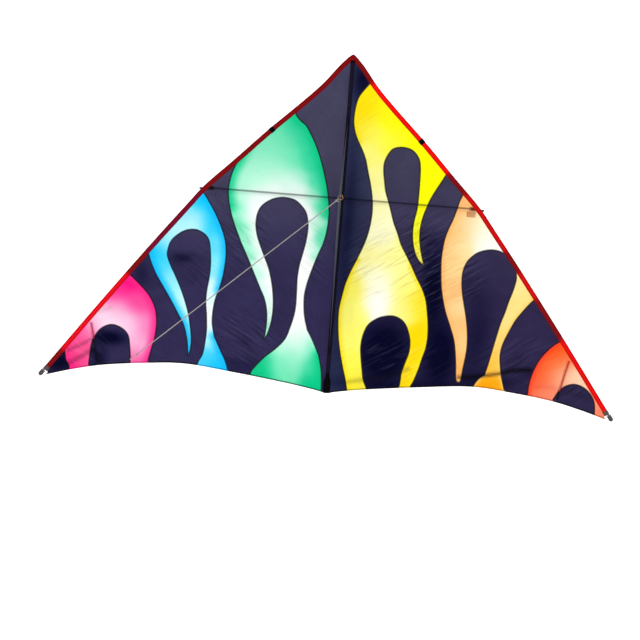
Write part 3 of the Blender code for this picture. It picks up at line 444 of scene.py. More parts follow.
def cloth_y(x, depth):
    """How far back the cloth stands at a signed x."""
    x, depth = np.asarray(x, float), np.asarray(depth, float)
    wide = np.abs(x)
    seam_x = np.interp(depth, SEAM[:, 1], SEAM[:, 0])
    across = np.clip((wide - SAIL_INNER_X) / np.maximum(seam_x - SAIL_INNER_X, 0.001), 0, 1.05)
    above = np.clip(depth / TOW_DEPTH, 0, 1)
    below = np.clip((depth - TOW_DEPTH) / (TAIL_DEPTH - TOW_DEPTH), 0, 1)
    belly = UPPER_BILLOW * np.sin(math.pi * above) ** 2 + SPREADER_TOUCH * above**3
    belly = belly + (LOWER_BILLOW - SPREADER_TOUCH) * (1 - np.cos(math.pi * below)) / 2
    held = np.sin(math.pi * np.clip(across, 0, 1))
    y = SPINE_Y + spar_sweep(depth) * across + belly * held
    free = np.clip(held * 3, 0, 1) * np.clip(np.abs(depth - TOW_DEPTH) / 0.08, 0, 1)
    y = y + ripple(x, depth) * free
    flat = np.stack([x.ravel(), depth.ravel()], axis=1)
    for line, width, deep, _ in CREASE_LINES:
        gap, _ = distance_to(flat, line)
        y = y - deep * np.exp(-((gap / width) ** 2)).reshape(y.shape) * free
    return y


def on_cloth(x, depth, lift=0.0):
    """World points on the cloth, moved back by lift."""
    x, depth = np.asarray(x, float), np.asarray(depth, float)
    return np.stack([x, cloth_y(x, depth) + lift, TOW_DEPTH - depth], axis=-1)


# ---------------------------------------------------------------- flames and tints
def loop_of(flame):
    """The flame's closed outline, and the seams that are sewn on the cloth as (kind, line)."""
    outline, seams = [], []
    for kind, points in flame["strokes"]:
        points = np.array(points, float) / 1000
        line = points if kind == "open" else resampled(smooth(points), 0.008)
        outline.append(line[:-1])
        if kind != "open":
            seams.append((kind, line))
    return np.vstack(outline), seams


def inside(points, loop):
    """Which points lie inside a closed outline."""
    found = np.zeros(len(points), bool)
    px, py = points[:, 0], points[:, 1]
    for (ax, ay), (bx, by) in zip(loop, np.roll(loop, -1, axis=0)):
        crosses = (ay > py) != (by > py)
        if ay != by:
            found ^= crosses & (px < (bx - ax) * (py - ay) / (by - ay) + ax)
    return found


OUTLINES = {name: loop_of(flame) for name, flame in FLAMES.items()}


def linear(colour):
    """Shares of 255 in sRGB as linear light."""
    c = np.asarray(colour, float) / 255
    return np.where(c <= 0.04045, c / 12.92, ((c + 0.055) / 1.055) ** 2.4)


def smoothstep(t):
    """A smooth climb from 0 to 1 while t goes from 0 to 1."""
    t = np.clip(t, 0, 1)
    return t * t * (3 - 2 * t)


def crease_shade(flat):
    """How much painted shade the creases lay on the cloth at each point."""
    shade = np.zeros(len(flat))
    for line, width, _, dark in CREASE_LINES:
        gap, _ = distance_to(flat, line)
        shade = np.maximum(shade, dark * np.exp(-((gap / width) ** 2)))
    return shade


def flame_tint(name, flat):
    """The panel's dyed shading, with its saturated band beside the outer sides, and painted shade in its
    creases.
    """
    mixed = np.zeros((len(flat), 3))
    total = np.zeros(len(flat))
    for *spot, colour in SHADING[name]:
        x, depth, reach = np.array(spot) / 1000
        away = ((flat[:, 0] - x) ** 2 + (flat[:, 1] - depth) ** 2) / (SHADE_SPREAD * reach) ** 2
        share = np.exp(-away) + 0.001 / (1 + away**2)
        mixed += share[:, None] * np.array(colour)
        total += share
    colour = mixed / total[:, None]
    gap = np.full(len(flat), 9.0)
    for kind, line in OUTLINES[name][1]:
        if kind == "outer":
            gap = np.minimum(gap, distance_to(flat, line)[0])
    band = (1 - smoothstep(1000 * gap / FLAMES[name]["band"]))[:, None]
    colour = colour * (1 - 0.85 * band) + 0.85 * band * np.array(EDGE_TINTS[name])
    return FLAME_LEVEL * colour * (1 - 0.55 * crease_shade(flat))[:, None]


def plain_tint(flat):
    """The dark cloth: slate above, plum below, with painted shade on the right wing, beside its spine, in
    pools and in the creases.
    """
    down = smoothstep((flat[:, 1] - 0.5) / 0.7)[:, None]
    right = flat[:, :1] > 0
    colour = np.where(right, SLATE_RIGHT, SLATE) * (1 - down) + np.where(right, PLUM_RIGHT, PLUM) * down
    # Painted shade beside the spine on the right wing.
    beside = np.exp(-((flat[:, 0] - 0.05) / 0.09) ** 2)[:, None] * (flat[:, :1] > 0)
    colour = colour * (1 - 0.7 * beside) + np.array(RIGHT_SPINE_SHADE) * 0.7 * beside
    # Painted shade in pools.
    for x, depth, wide, tall, strength in SHADE_POOLS:
        near = np.exp(-(((flat[:, 0] - x) / wide) ** 2 + ((flat[:, 1] - depth) / tall) ** 2))
        share = np.clip(strength * near, 0, 1)[:, None]
        colour = colour * (1 - share) + np.array(POOL_SHADE) * share
    return colour * (1 - 0.8 * crease_shade(flat))[:, None]


# ---------------------------------------------------------------- materials
class Nodes:
    """Short ways to build a material's node tree."""

    def __init__(self, name):
        self.material = bpy.data.materials.new(name)
        self.material.use_nodes = True
        self.tree = self.material.node_tree
        self.shader = self.tree.nodes["Principled BSDF"]
        self.output = self.tree.nodes["Material Output"]

    def add(self, kind, inputs=(), **settings):
        node = self.tree.nodes.new("ShaderNode" + kind)
        for key, value in settings.items():
            setattr(node, key, value)
        for key, value in dict(inputs).items():
            self.put(node.inputs[key], value)
        return node

    def put(self, socket, value):
        if isinstance(value, bpy.types.Node):
            value = value.outputs[0]
        if isinstance(value, bpy.types.NodeSocket):
            self.tree.links.new(value, socket)
        else:
            socket.default_value = value

    def math(self, operation, a, b=0.0, c=0.0):
        return self.add("Math", {0: a, 1: b, 2: c}, operation=operation)

    def mix(self, share, a, b, blend="MIX"):
        node = self.add("Mix", data_type="RGBA", blend_type=blend)
        self.put(node.inputs[0], share)
        self.put(node.inputs[6], a)
        self.put(node.inputs[7], b)
        return node.outputs[2]

    def place(self):
        """(x, y, z) of the point in the object's own coordinates."""
        split = self.add("SeparateXYZ", {0: self.add("TexCoord").outputs["Object"]})
        return split.outputs

    def uv(self):
        split = self.add("SeparateXYZ", {0: self.add("TexCoord").outputs["UV"]})
        return split.outputs

    def attribute(self, name):
        return self.add("Attribute", attribute_name=name)

    def near(self, value, centre, width):
        """1 where value is at centre, 0 beyond width from it."""
        gap = self.math("ABSOLUTE", self.math("SUBTRACT", value, centre))
        return self.add("MapRange", {0: gap, 1: 0.5 * width, 2: width, 3: 1.0, 4: 0.0}).outputs[0]

    def stripes(self, value, pitch, share):
        """1 on a share of each pitch of value."""
        turn = self.math("FRACT", self.math("DIVIDE", value, pitch))
        gap = self.math("ABSOLUTE", self.math("SUBTRACT", turn, 0.5))
        half = share / 2
        return self.add("MapRange", {0: gap, 1: 0.7 * half, 2: 1.3 * half, 3: 1.0, 4: 0.0}).outputs[0]

    def bump(self, height, distance, strength=1.0, normal=None):
        node = self.add("Bump", {"Height": height, "Distance": distance, "Strength": strength})
        if normal is not None:
            self.put(node.inputs["Normal"], normal)
        return node.outputs[0]

    def finish(self, **inputs):
        for key, value in inputs.items():
            self.put(self.shader.inputs[key.replace("_", " ")], value)
        return self.material


def rgba(colour):
    return (*linear(colour), 1.0)


def ripstop(n, across, down):
    """A weave's height: fine threads, and a thicker one every 5 mm each way."""
    thick = n.math("MAXIMUM", n.stripes(across, 0.0052, 0.12), n.stripes(down, 0.0052, 0.12))
    threads = n.math("ADD", n.stripes(across, 0.0007, 0.6), n.stripes(down, 0.0007, 0.6))
    return thick, n.math("MULTIPLY_ADD", threads, 0.12, thick)


def translucent(n, colour, share, normal):
    """Mixes light that comes through the cloth from behind into its surface."""
    through = n.add("BsdfTranslucent", {"Color": colour})
    n.put(through.inputs["Normal"], normal)
    both = n.add("MixShader", {0: share, 1: n.shader, 2: through})
    n.put(n.output.inputs["Surface"], both)


def sail_material():
    """Colour comes from the panel's own tint; seams, stitches, ripstop and wrinkles are laid over it, with
    painted shade and highlight on the wrinkles and painted shadows of the spreader and its fitting behind the
    cloth.
    """
    n = Nodes("sail_ripstop")
    x, _, z = n.place()
    tint = n.attribute("tint")
    bright = tint.outputs["Alpha"]
    gap = n.attribute("seam_gap").outputs["Fac"]
    run = n.attribute("seam_run").outputs["Fac"]
    thick, weave = ripstop(n, x, z)

    broad = n.add("TexNoise", {"Scale": 5.0, "Detail": 5.0, "Roughness": 0.62, "Distortion": 0.6})
    level = n.add("MapRange", {0: broad.outputs[0], 1: 0.3, 2: 0.7, 3: 0.80, 4: 1.12}).outputs[0]
    level = n.math("MULTIPLY_ADD", n.math("SUBTRACT", 1.0, level), n.math("MULTIPLY", bright, 0.75), level)
    grey = n.add("CombineColor", {0: level, 1: level, 2: level})
    colour = n.mix(1.0, tint.outputs["Color"], grey, "MULTIPLY")
    colour = n.mix(n.math("MULTIPLY", thick, 0.12), colour, rgba((16, 14, 26)))

    fan = n.attribute("fan").outputs["Fac"]
    wide = n.math("ABSOLUTE", x)
    sine, cosine = math.sin(FAN_SLOPE), math.cos(FAN_SLOPE)
    wobble = n.add("TexNoise", {"Scale": 4.0, "Detail": 2.0})
    across = n.math("SUBTRACT", n.math("MULTIPLY", z, cosine), n.math("MULTIPLY", wide, sine))
    across = n.math("MULTIPLY_ADD", wobble.outputs[0], 0.045, across)
    along = n.math("ADD", n.math("MULTIPLY", wide, cosine), n.math("MULTIPLY", z, sine))
    drawn = n.add("CombineXYZ", {0: n.math("DIVIDE", along, WRINKLE_LENGTH),
                                 1: n.math("DIVIDE", across, WRINKLE_WIDTH)})
    lines = n.add("TexNoise", {"Vector": drawn, "Scale": 1.0, "Detail": 2.5, "Roughness": 0.55})
    dips = n.add("MapRange", {0: lines.outputs[0], 1: 0.52, 2: 0.66}).outputs[0]
    crests = n.add("MapRange", {0: lines.outputs[0], 1: 0.46, 2: 0.36}).outputs[0]
    # Painted shade in the wrinkles' troughs, weaker on the pale panels.
    depth = n.math("SUBTRACT", 1.0, n.math("MULTIPLY", bright, 0.66))
    wrinkle_shade = n.math("MULTIPLY", n.math("MULTIPLY", dips, fan), depth)
    colour = n.mix(wrinkle_shade, colour, n.mix(bright, rgba((0, 0, 22)), rgba((138, 104, 60))))
    # Painted highlight on the wrinkles' crests.
    wrinkle_highlight_level = n.math("SUBTRACT", 0.10, n.math("MULTIPLY", bright, 0.02))
    wrinkle_highlight = n.math("MULTIPLY", n.math("MULTIPLY", crests, fan), wrinkle_highlight_level)
    colour = n.mix(wrinkle_highlight, colour, n.mix(bright, rgba((128, 130, 160)), rgba((255, 255, 250))))
    fine = n.math("MULTIPLY", lines.outputs[0], fan)

    seam = n.add("MapRange", {0: gap, 1: 0.0030, 2: 0.0041, 3: 1.0, 4: 0.0}).outputs[0]
    colour = n.mix(n.math("MULTIPLY", seam, 0.94), colour, n.mix(0.10, rgba(OUTLINE), tint.outputs["Color"]))
    zigzag = n.math("MULTIPLY", n.math("PINGPONG", run, 0.003), 0.7)
    thread = n.math("MULTIPLY", n.near(gap, zigzag, 0.0005), n.near(gap, 0.0, 0.006))
    colour = n.mix(n.math("MULTIPLY", thread, 0.35), colour, rgba((60, 58, 66)))
    pucker = n.math("SINE", n.math("MULTIPLY", run, 2 * math.pi / 0.017))
    fading = n.add("MapRange", {0: gap, 1: 0.0, 2: 0.022, 3: 1.0, 4: 0.0}).outputs[0]
    pucker = n.math("MULTIPLY", pucker, fading)

    # Painted shadow of the spreader rod, which lies just behind the cloth.
    spreader_shadow = n.math("MULTIPLY", n.near(z, SPREADER_LIFT, 0.0060), n.near(x, 0.0, 1.30))
    colour = n.mix(n.math("MULTIPLY", spreader_shadow, 0.62), colour, rgba((4, 4, 24)))
    # Painted shadow of the spreader's fitting behind the cloth: near black over the dark cloth, dark red over
    # the panels.
    socket = n.math("MULTIPLY", n.near(z, SPREADER_LIFT, 0.0125), n.near(wide, 0.645, 0.030))
    shade = n.mix(bright, rgba((2, 2, 6)), rgba((104, 36, 14)))
    colour = n.mix(n.math("MULTIPLY", socket, 0.92), colour, shade)

    normal = n.bump(weave, 0.00012, 0.6)
    normal = n.bump(fine, 0.0045, 0.9, normal)
    normal = n.bump(pucker, 0.0012, 0.5, normal)
    normal = n.bump(broad.outputs[0], 0.010, 0.6, normal)
    normal = n.bump(seam, 0.0004, 0.6, normal)
    material = n.finish(Base_Color=colour, Roughness=0.6, Specular_IOR_Level=0.06, Normal=normal)
    translucent(n, colour, 0.38, normal)
    return material


def sewn_cloth(name, colour, stitches=(), share=0.15, weave="ripstop", shine=0.1, painted_glow=0.0):
    """Cloth or tape, UV in metres. Stitches are rows, as distances across. Colour may be an attribute."""
    n = Nodes(name)
    u, v, _ = n.uv()
    base = n.attribute(colour).outputs["Color"] if isinstance(colour, str) else rgba(colour)
    if weave == "ripstop":
        thick, height = ripstop(n, u, v)
        base = n.mix(n.math("MULTIPLY", thick, 0.10), base, rgba((30, 5, 12)))
    else:
        ribs = n.stripes(n.math("ADD", u, v), 0.0016, 0.5)
        height = n.math("ADD", ribs, n.stripes(n.math("SUBTRACT", u, v), 0.0016, 0.5))
        base = n.mix(n.math("MULTIPLY", ribs, 0.12), base, rgba((54, 52, 56)))
    noise = n.add("TexNoise", {"Scale": 14.0, "Detail": 4.0})
    base = n.mix(n.add("MapRange", {0: noise.outputs[0], 1: 0.45, 2: 0.8, 3: 0.0, 4: 0.22}).outputs[0],
                 base, rgba((24, 10, 14)))
    normal = n.bump(height, 0.00012, 0.6)
    normal = n.bump(noise.outputs[0], 0.0035, 0.5, normal)
    for row in stitches:
        dash = n.math("MULTIPLY", n.near(v, row, 0.0006), n.stripes(u, 0.0036, 0.62))
        # Painted shade in the trough that each stitch row presses into the cloth; the dashes are the thread's
        # own colour.
        trough = n.near(v, row, 0.0016)
        base = n.mix(n.math("MULTIPLY", trough, 0.30), base, rgba((16, 8, 10)))
        base = n.mix(n.math("MULTIPLY", dash, 0.85), base, rgba((34, 26, 30)))
        normal = n.bump(dash, 0.0004, 0.8, normal)
    # The emission is painted glow, for light shining through the cloth from behind.
    material = n.finish(Base_Color=base, Roughness=0.62, Specular_IOR_Level=shine, Normal=normal,
                        Emission_Color=base, Emission_Strength=painted_glow)
    translucent(n, base, share, normal)
    return material


def rod_material():
    """Wound glass fibre: dark, satin, with fine lengthwise streaks and a few rubbed places."""
    n = Nodes("glass_fibre")
    coords = n.add("TexCoord").outputs["Object"]
    streaks = n.add("TexNoise", {"Scale": 260.0, "Detail": 3.0, "Vector": coords})
    rubs = n.add("TexNoise", {"Scale": 22.0, "Detail": 5.0, "Vector": coords})
    worn = n.add("MapRange", {0: rubs.outputs[0], 1: 0.58, 2: 0.72}).outputs[0]
    colour = n.mix(n.math("MULTIPLY", streaks.outputs[0], 0.5), rgba((26, 26, 30)), rgba((48, 48, 52)))
    colour = n.mix(n.math("MULTIPLY", worn, 0.35), colour, rgba((92, 90, 88)))
    rough = n.add("MapRange", {0: rubs.outputs[0], 1: 0.3, 2: 0.7, 3: 0.28, 4: 0.5}).outputs[0]
    return n.finish(Base_Color=colour, Roughness=rough, Normal=n.bump(streaks.outputs[0], 0.0001, 0.4))


def vinyl_material(name, colour):
    """Moulded vinyl: fine grain, softly scuffed."""
    n = Nodes(name)
    coords = n.add("TexCoord").outputs["Object"]
    grain = n.add("TexNoise", {"Scale": 900.0, "Detail": 2.0, "Vector": coords})
    marks = n.add("TexNoise", {"Scale": 70.0, "Detail": 6.0, "Vector": coords})
    scuff = n.add("MapRange", {0: marks.outputs[0], 1: 0.56, 2: 0.70}).outputs[0]
    base = n.mix(n.math("MULTIPLY", scuff, 0.16), rgba(colour), rgba((96, 94, 92)))
    rough = n.add("MapRange", {0: marks.outputs[0], 1: 0.3, 2: 0.7, 3: 0.36, 4: 0.6}).outputs[0]
    return n.finish(Base_Color=base, Roughness=rough, Specular_IOR_Level=0.25,
                    Normal=n.bump(grain.outputs[0], 0.0002, 0.4))


def metal_material(name, colour, roughness):
    """Drawn or pressed metal with fine brushed lines and dulled spots."""
    n = Nodes(name)
    coords = n.add("TexCoord").outputs["Object"]
    lines = n.add("TexNoise", {"Scale": 600.0, "Detail": 2.0, "Vector": coords})
    spots = n.add("TexNoise", {"Scale": 90.0, "Detail": 5.0, "Vector": coords})
    dull = n.add("MapRange", {0: spots.outputs[0], 1: 0.5, 2: 0.7}).outputs[0]
    darker = tuple(0.55 * c for c in colour)
    base = n.mix(n.math("MULTIPLY", dull, 0.5), rgba(colour), rgba(darker))
    rough = n.add("MapRange", {0: dull, 3: roughness, 4: roughness + 0.25}).outputs[0]
    normal = n.bump(lines.outputs[0], 0.00008, 0.5)
    return n.finish(Base_Color=base, Metallic=1.0, Roughness=rough, Normal=normal)


def cord_material(name, light, dark, pitch):
    """A braid: two sets of strands that cross, from UV with u along in metres and v once round."""
    n = Nodes(name)
    u, v, _ = n.uv()
    turn = n.math("DIVIDE", u, pitch)
    one = n.math("SINE", n.math("MULTIPLY", n.math("MULTIPLY_ADD", v, 4.0, turn), 2 * math.pi))
    counter = n.math("SUBTRACT", turn, n.math("MULTIPLY", v, 4.0))
    two = n.math("SINE", n.math("MULTIPLY", counter, 2 * math.pi))
    braid = n.add("MapRange", {0: n.math("MULTIPLY", one, two), 1: -1.0, 2: 1.0}).outputs[0]
    noise = n.add("TexNoise", {"Scale": 40.0, "Detail": 4.0})
    base = n.mix(braid, rgba(dark), rgba(light))
    base = n.mix(n.math("MULTIPLY", noise.outputs[0], 0.25), base, rgba(dark))
    return n.finish(Base_Color=base, Roughness=0.8, Specular_IOR_Level=0.2, Normal=n.bump(braid, 0.0004, 0.7))


MATERIALS = {
    "sail": sail_material(),
    "sleeve": sewn_cloth("sleeve_ripstop", "tint", stitches=(0.0175, 0.0215), share=0.25, painted_glow=0.3),
    "hem": sewn_cloth("hem_ripstop", "tint", stitches=(0.0015,), share=0.2),
    "channel": sewn_cloth("channel_cloth", "tint", share=0.2),
    "patch": sewn_cloth("red_patch", (132, 0, 6), stitches=(0.003,), share=0.2, painted_glow=0.2),
    "keel": sewn_cloth("keel_ripstop", (92, 88, 104), share=0.3),
    "pocket": sewn_cloth("pocket_cloth", (30, 27, 44), stitches=(0.002,), share=0.1, shine=0.0),
    "tape": sewn_cloth("black_tape", (4, 4, 6), stitches=(0.0025,), share=0.0, weave="twill", shine=0.0),
    "webbing": sewn_cloth("tip_webbing", (92, 78, 74), stitches=(0.004,), share=0.0, weave="twill"),
    "rod": rod_material(),
    "vinyl": vinyl_material("black_vinyl", (10, 10, 12)),
    "cap": vinyl_material("grey_vinyl", (66, 63, 66)),
    "ferrule": metal_material("drawn_aluminium", (214, 216, 220), 0.28),
    "brass": metal_material("pressed_brass", (226, 158, 92), 0.30),
    "steel": metal_material("steel_wire", (176, 140, 108), 0.35),
    "line": cord_material("braided_line", (206, 198, 192), (128, 120, 116), 0.004),
    "elastic": cord_material("shock_cord", (104, 92, 88), (64, 56, 54), 0.003),
}


# ---------------------------------------------------------------- meshes
def mesh_object(name, points, faces, material, uvs=None):
    mesh = bpy.data.meshes.new(name)
    mesh.from_pydata([tuple(map(float, p)) for p in points], [], [tuple(map(int, f)) for f in faces])
    if uvs is not None:
        layer = mesh.uv_layers.new(name="UVMap")
        corners = np.zeros(len(mesh.loops), int)
        mesh.loops.foreach_get("vertex_index", corners)
        layer.data.foreach_set("uv", np.array(uvs, np.float32)[corners].ravel())
    mesh.shade_smooth()
    mesh.materials.append(MATERIALS[material])
    obj = bpy.data.objects.new(name, mesh)
    bpy.context.scene.collection.objects.link(obj)
    return obj


def set_tint(obj, colours):
    """A colour for each vertex, or for each face corner, from sRGB shares of 255. A fourth share is alpha."""
    domain = "POINT" if len(colours) == len(obj.data.vertices) else "CORNER"
    layer = obj.data.color_attributes.new("tint", "FLOAT_COLOR", domain)
    rows = np.ones((len(colours), 4), np.float32)
    rows[:, :3] = linear(np.clip(colours[:, :3], 0, 255))
    if colours.shape[1] == 4:
        rows[:, 3] = colours[:, 3] / 255
    layer.data.foreach_set("color", rows.ravel())


def set_float(obj, name, values):
    layer = obj.data.attributes.new(name, "FLOAT", "POINT")
    layer.data.foreach_set("value", np.asarray(values, np.float32))


def grid_faces(rows, columns):
    faces = []
    for r in range(rows - 1):
        for c in range(columns - 1):
            a = r * columns + c
            faces.append((a, a + columns, a + columns + 1, a + 1))
    return faces


def strip(name, rows, material, us=None, vs=None):
    """A surface over rows of points, with UV in metres along and across."""
    rows = np.array(rows, float)
    if us is None:
        us = lengths(rows[:, 0])
    if vs is None:
        vs = lengths(rows[0])
    uvs = [(u, v) for u in us for v in vs]
    return mesh_object(name, rows.reshape(-1, 3), grid_faces(rows.shape[0], rows.shape[1]), material, uvs)


def tube_rows(line, radius, sides=12):
    """Rings round a line of points, the last point of each ring on its first."""
    line = [Vector(p) for p in line]
    rows, across = [], None
    for k, here in enumerate(line):
        along = (line[min(k + 1, len(line) - 1)] - line[max(k - 1, 0)]).normalized()
        if across is None:
            across = along.orthogonal().normalized()
        across = (across - across.dot(along) * along).normalized()
        back = along.cross(across)
        rows.append([here + radius * (math.cos(a) * across + math.sin(a) * back)
                     for a in (2 * math.pi * i / sides for i in range(sides + 1))])
    return rows


def tube(name, line, radius, material, sides=12, ends=True):
    rows = tube_rows(line, radius, sides)
    if ends:
        rows = [[Vector(line[0])] * (sides + 1)] + rows + [[Vector(line[-1])] * (sides + 1)]
    rows = np.array([[tuple(p) for p in row] for row in rows])
    middle = rows.mean(axis=1)
    around = np.linspace(0, 1, sides + 1)
    return strip(name, rows, material, us=lengths(middle), vs=around)


# ---------------------------------------------------------------- sail
def sail_points(sign):
    """Hexagonal points inside the wing, and the wing's own outline, as (x, depth)."""
    seam = SEAM[(SEAM[:, 0] > 0.006) & (SEAM[:, 0] < 1.366)]
    top = seam - 0.006 * inward_of(seam)
    tip_x = top[-1, 0]
    xs = np.arange(tip_x, 0.006, -0.011)
    foot = np.stack([xs, trailing_depth(xs) - 0.0005], axis=1)
    spine = np.stack([np.full(110, 0.0065), np.linspace(trailing_depth(0.0065), top[0, 1], 110)], axis=1)
    outline = np.vstack([top, foot, spine[:-1]])
    step = 0.0125
    rows = np.arange(0.03, 1.68, step * 0.866)
    grid = np.array([(x + (k % 2) * step / 2, depth) for k, depth in enumerate(rows)
                     for x in np.arange(0.01, 1.38, step)])
    grid = grid[inside(grid, outline)]
    gap, _ = distance_to(grid, np.vstack([outline, outline[:1]]))
    grid = grid[gap > 0.005]
    return outline * (sign, 1), grid * (sign, 1)


def build_sail(side, sign):
    outline, grid = sail_points(sign)
    names = [name for name, flame in FLAMES.items() if flame["strokes"][0][1][0][0] * sign > 0]
    seams = [line for name in names for _, line in OUTLINES[name][1]]
    keep = np.ones(len(grid), bool)
    beside = []
    for line in seams:
        keep &= distance_to(grid, line)[0] > 2 * SEAM_BAND
        normal = inward_of(line)
        beside += [line + SEAM_BAND * normal, line - SEAM_BAND * normal]
    beside = np.vstack(beside)
    beside = beside[inside(beside, outline)]
    beside = beside[distance_to(beside, np.vstack([outline, outline[:1]]))[0] > 0.002]
    for line in seams:
        beside = beside[distance_to(beside, line)[0] > 0.93 * SEAM_BAND]
    points = [outline]
    edges = [(i, (i + 1) % len(outline)) for i in range(len(outline))]
    start = len(outline)
    for line in seams:
        points.append(line)
        edges += [(start + i, start + i + 1) for i in range(len(line) - 1)]
        start += len(line)
    points += [grid[keep], beside]
    flat = np.vstack(points)
    result = delaunay_2d_cdt([Vector(p) for p in flat], edges, [], 0, 1e-5, False)
    flat = np.array([tuple(p) for p in result[0]])
    faces = np.array([f for f in result[2] if len(f) == 3])
    middles = flat[faces].mean(axis=1)
    faces = faces[inside(middles, outline)]
    middles = flat[faces].mean(axis=1)
    if np.cross(flat[faces[0, 1]] - flat[faces[0, 0]], flat[faces[0, 2]] - flat[faces[0, 0]]) > 0:
        faces = faces[:, ::-1]
    used, renumbered = np.unique(faces, return_inverse=True)
    flat, faces = flat[used], renumbered.reshape(-1, 3)

    sail = mesh_object(f"{side}_sail", on_cloth(flat[:, 0], flat[:, 1]), faces, "sail")
    corners = faces.reshape(-1)
    colours = np.column_stack([plain_tint(flat)[corners], np.zeros(len(corners))])
    for name in names:
        own = np.repeat(inside(middles, OUTLINES[name][0]), 3)
        colours[own, :3] = flame_tint(name, flat[corners[own]])
        colours[own, 3] = 255
    set_tint(sail, colours)
    gap, run = np.full(len(flat), 9.0), np.zeros(len(flat))
    for line in seams:
        near, along = distance_to(flat, line)
        better = near < gap
        gap[better], run[better] = near[better], along[better]
    set_float(sail, "seam_gap", gap)
    set_float(sail, "seam_run", run)
    fan = np.full(len(flat), CALM)
    for x, depth, wide, tall, strength in FANS:
        away = ((flat[:, 0] - x) / wide) ** 2 + ((flat[:, 1] - depth) / tall) ** 2
        fan = np.maximum(fan, strength * np.exp(-(away**1.4)))
    set_float(sail, "fan", fan)
    return sail


def cloth_tint(x, depth):
    """The sail's own tint at points, and the name of the flame that each lies on."""
    flat = np.stack([np.ravel(x), np.ravel(depth)], axis=1)
    colours = plain_tint(flat)
    names = np.full(len(flat), "dark", dtype=object)
    for name, (loop, _) in OUTLINES.items():
        own = inside(flat, loop)
        if own.any():
            colours[own] = flame_tint(name, flat[own])
            names[own] = name
    return colours, names


def build_hem(side, sign):
    """The trailing edge turned up: a folded strip a little thicker than the cloth."""
    xs = np.arange(0.010, 1.371, 0.008)
    ups = np.array([0.0065, 0.0055, 0.003, 0.0008, -0.0002, 0.0008, 0.003, 0.0055, 0.0065])
    lifts = np.array([-0.0006, -0.0011, -0.0012, -0.0010, 0.0, 0.0010, 0.0012, 0.0011, 0.0006])
    across = np.repeat(sign * xs[:, None], len(ups), axis=1)
    rows = on_cloth(across, trailing_depth(xs)[:, None] - ups, lifts)
    hem = strip(f"{side}_hem", rows, "hem")
    colours, names = cloth_tint(sign * xs, trailing_depth(xs) - 0.004)
    # Painted shade: the doubled hem darker than the cloth beside it.
    dims = np.array([HEM_DIMS.get(name, 0.95) for name in names])
    set_tint(hem, np.repeat(colours * dims[:, None], len(ups), axis=0))
    return hem


# ---------------------------------------------------------------- leading edge
def spar_frames(sign, step, start, end):
    """Arrays (place, along, inward, backward, depth, run) down the spar's axis."""
    runs = np.arange(start, end, step)
    x, depth = np.interp(runs, AXIS_RUN, AXIS[:, 0]), np.interp(runs, AXIS_RUN, AXIS[:, 1])
    places = np.stack([sign * x, SPINE_Y + spar_sweep(depth), TOW_DEPTH - depth], axis=1)
    along = np.gradient(places, axis=0)
    along /= np.linalg.norm(along, axis=1)[:, None]
    back = np.array([0, 1, 0]) - along[:, 1:2] * along
    back /= np.linalg.norm(back, axis=1)[:, None]
    inward = np.cross(back, along) * sign
    return places, along, inward, back, depth, runs


def sleeve_section(grown=0.0):
    """(in towards the sail, backward) round the sleeve, from the seam in front to the seam behind."""
    radius, tail, half = SLEEVE_RADIUS + grown, 0.0020 + grown, 0.0007 + grown
    angles = np.radians(np.linspace(-135, 135, 15))
    arc = [(-radius * math.cos(a), radius * math.sin(a)) for a in angles]
    end = SLEEVE_WIDTH - SLEEVE_RADIUS + grown
    front = [(end, -half), (end - 0.004, -half - 0.0002), (0.0095, -tail)]
    return front + arc + [(i, -b) for i, b in reversed(front)]


def wrapped(section, frames, flat):
    """The section's points round the spar at each of its frames, thinner where the sleeve lies flat."""
    places, _, inward, back, _, _ = frames
    section = np.array(section)
    return [[place + i * way + b * thin * rear for i, b in section]
            for place, way, rear, thin in zip(places, inward, back, flat)]


def flatness(runs):
    """Thin where no spar fills the sleeve, above the black band, with puckers in the empty cloth."""
    band_run = float(np.interp(BAND_DEPTH, AXIS[:, 1], AXIS_RUN))
    filled = smoothstep((runs - band_run + 0.045) / 0.035)
    puckers = 0.05 * np.sin(runs * 95) * np.sin(runs * 23 + 1)
    return 0.18 + puckers * (1 - filled) + 0.82 * filled


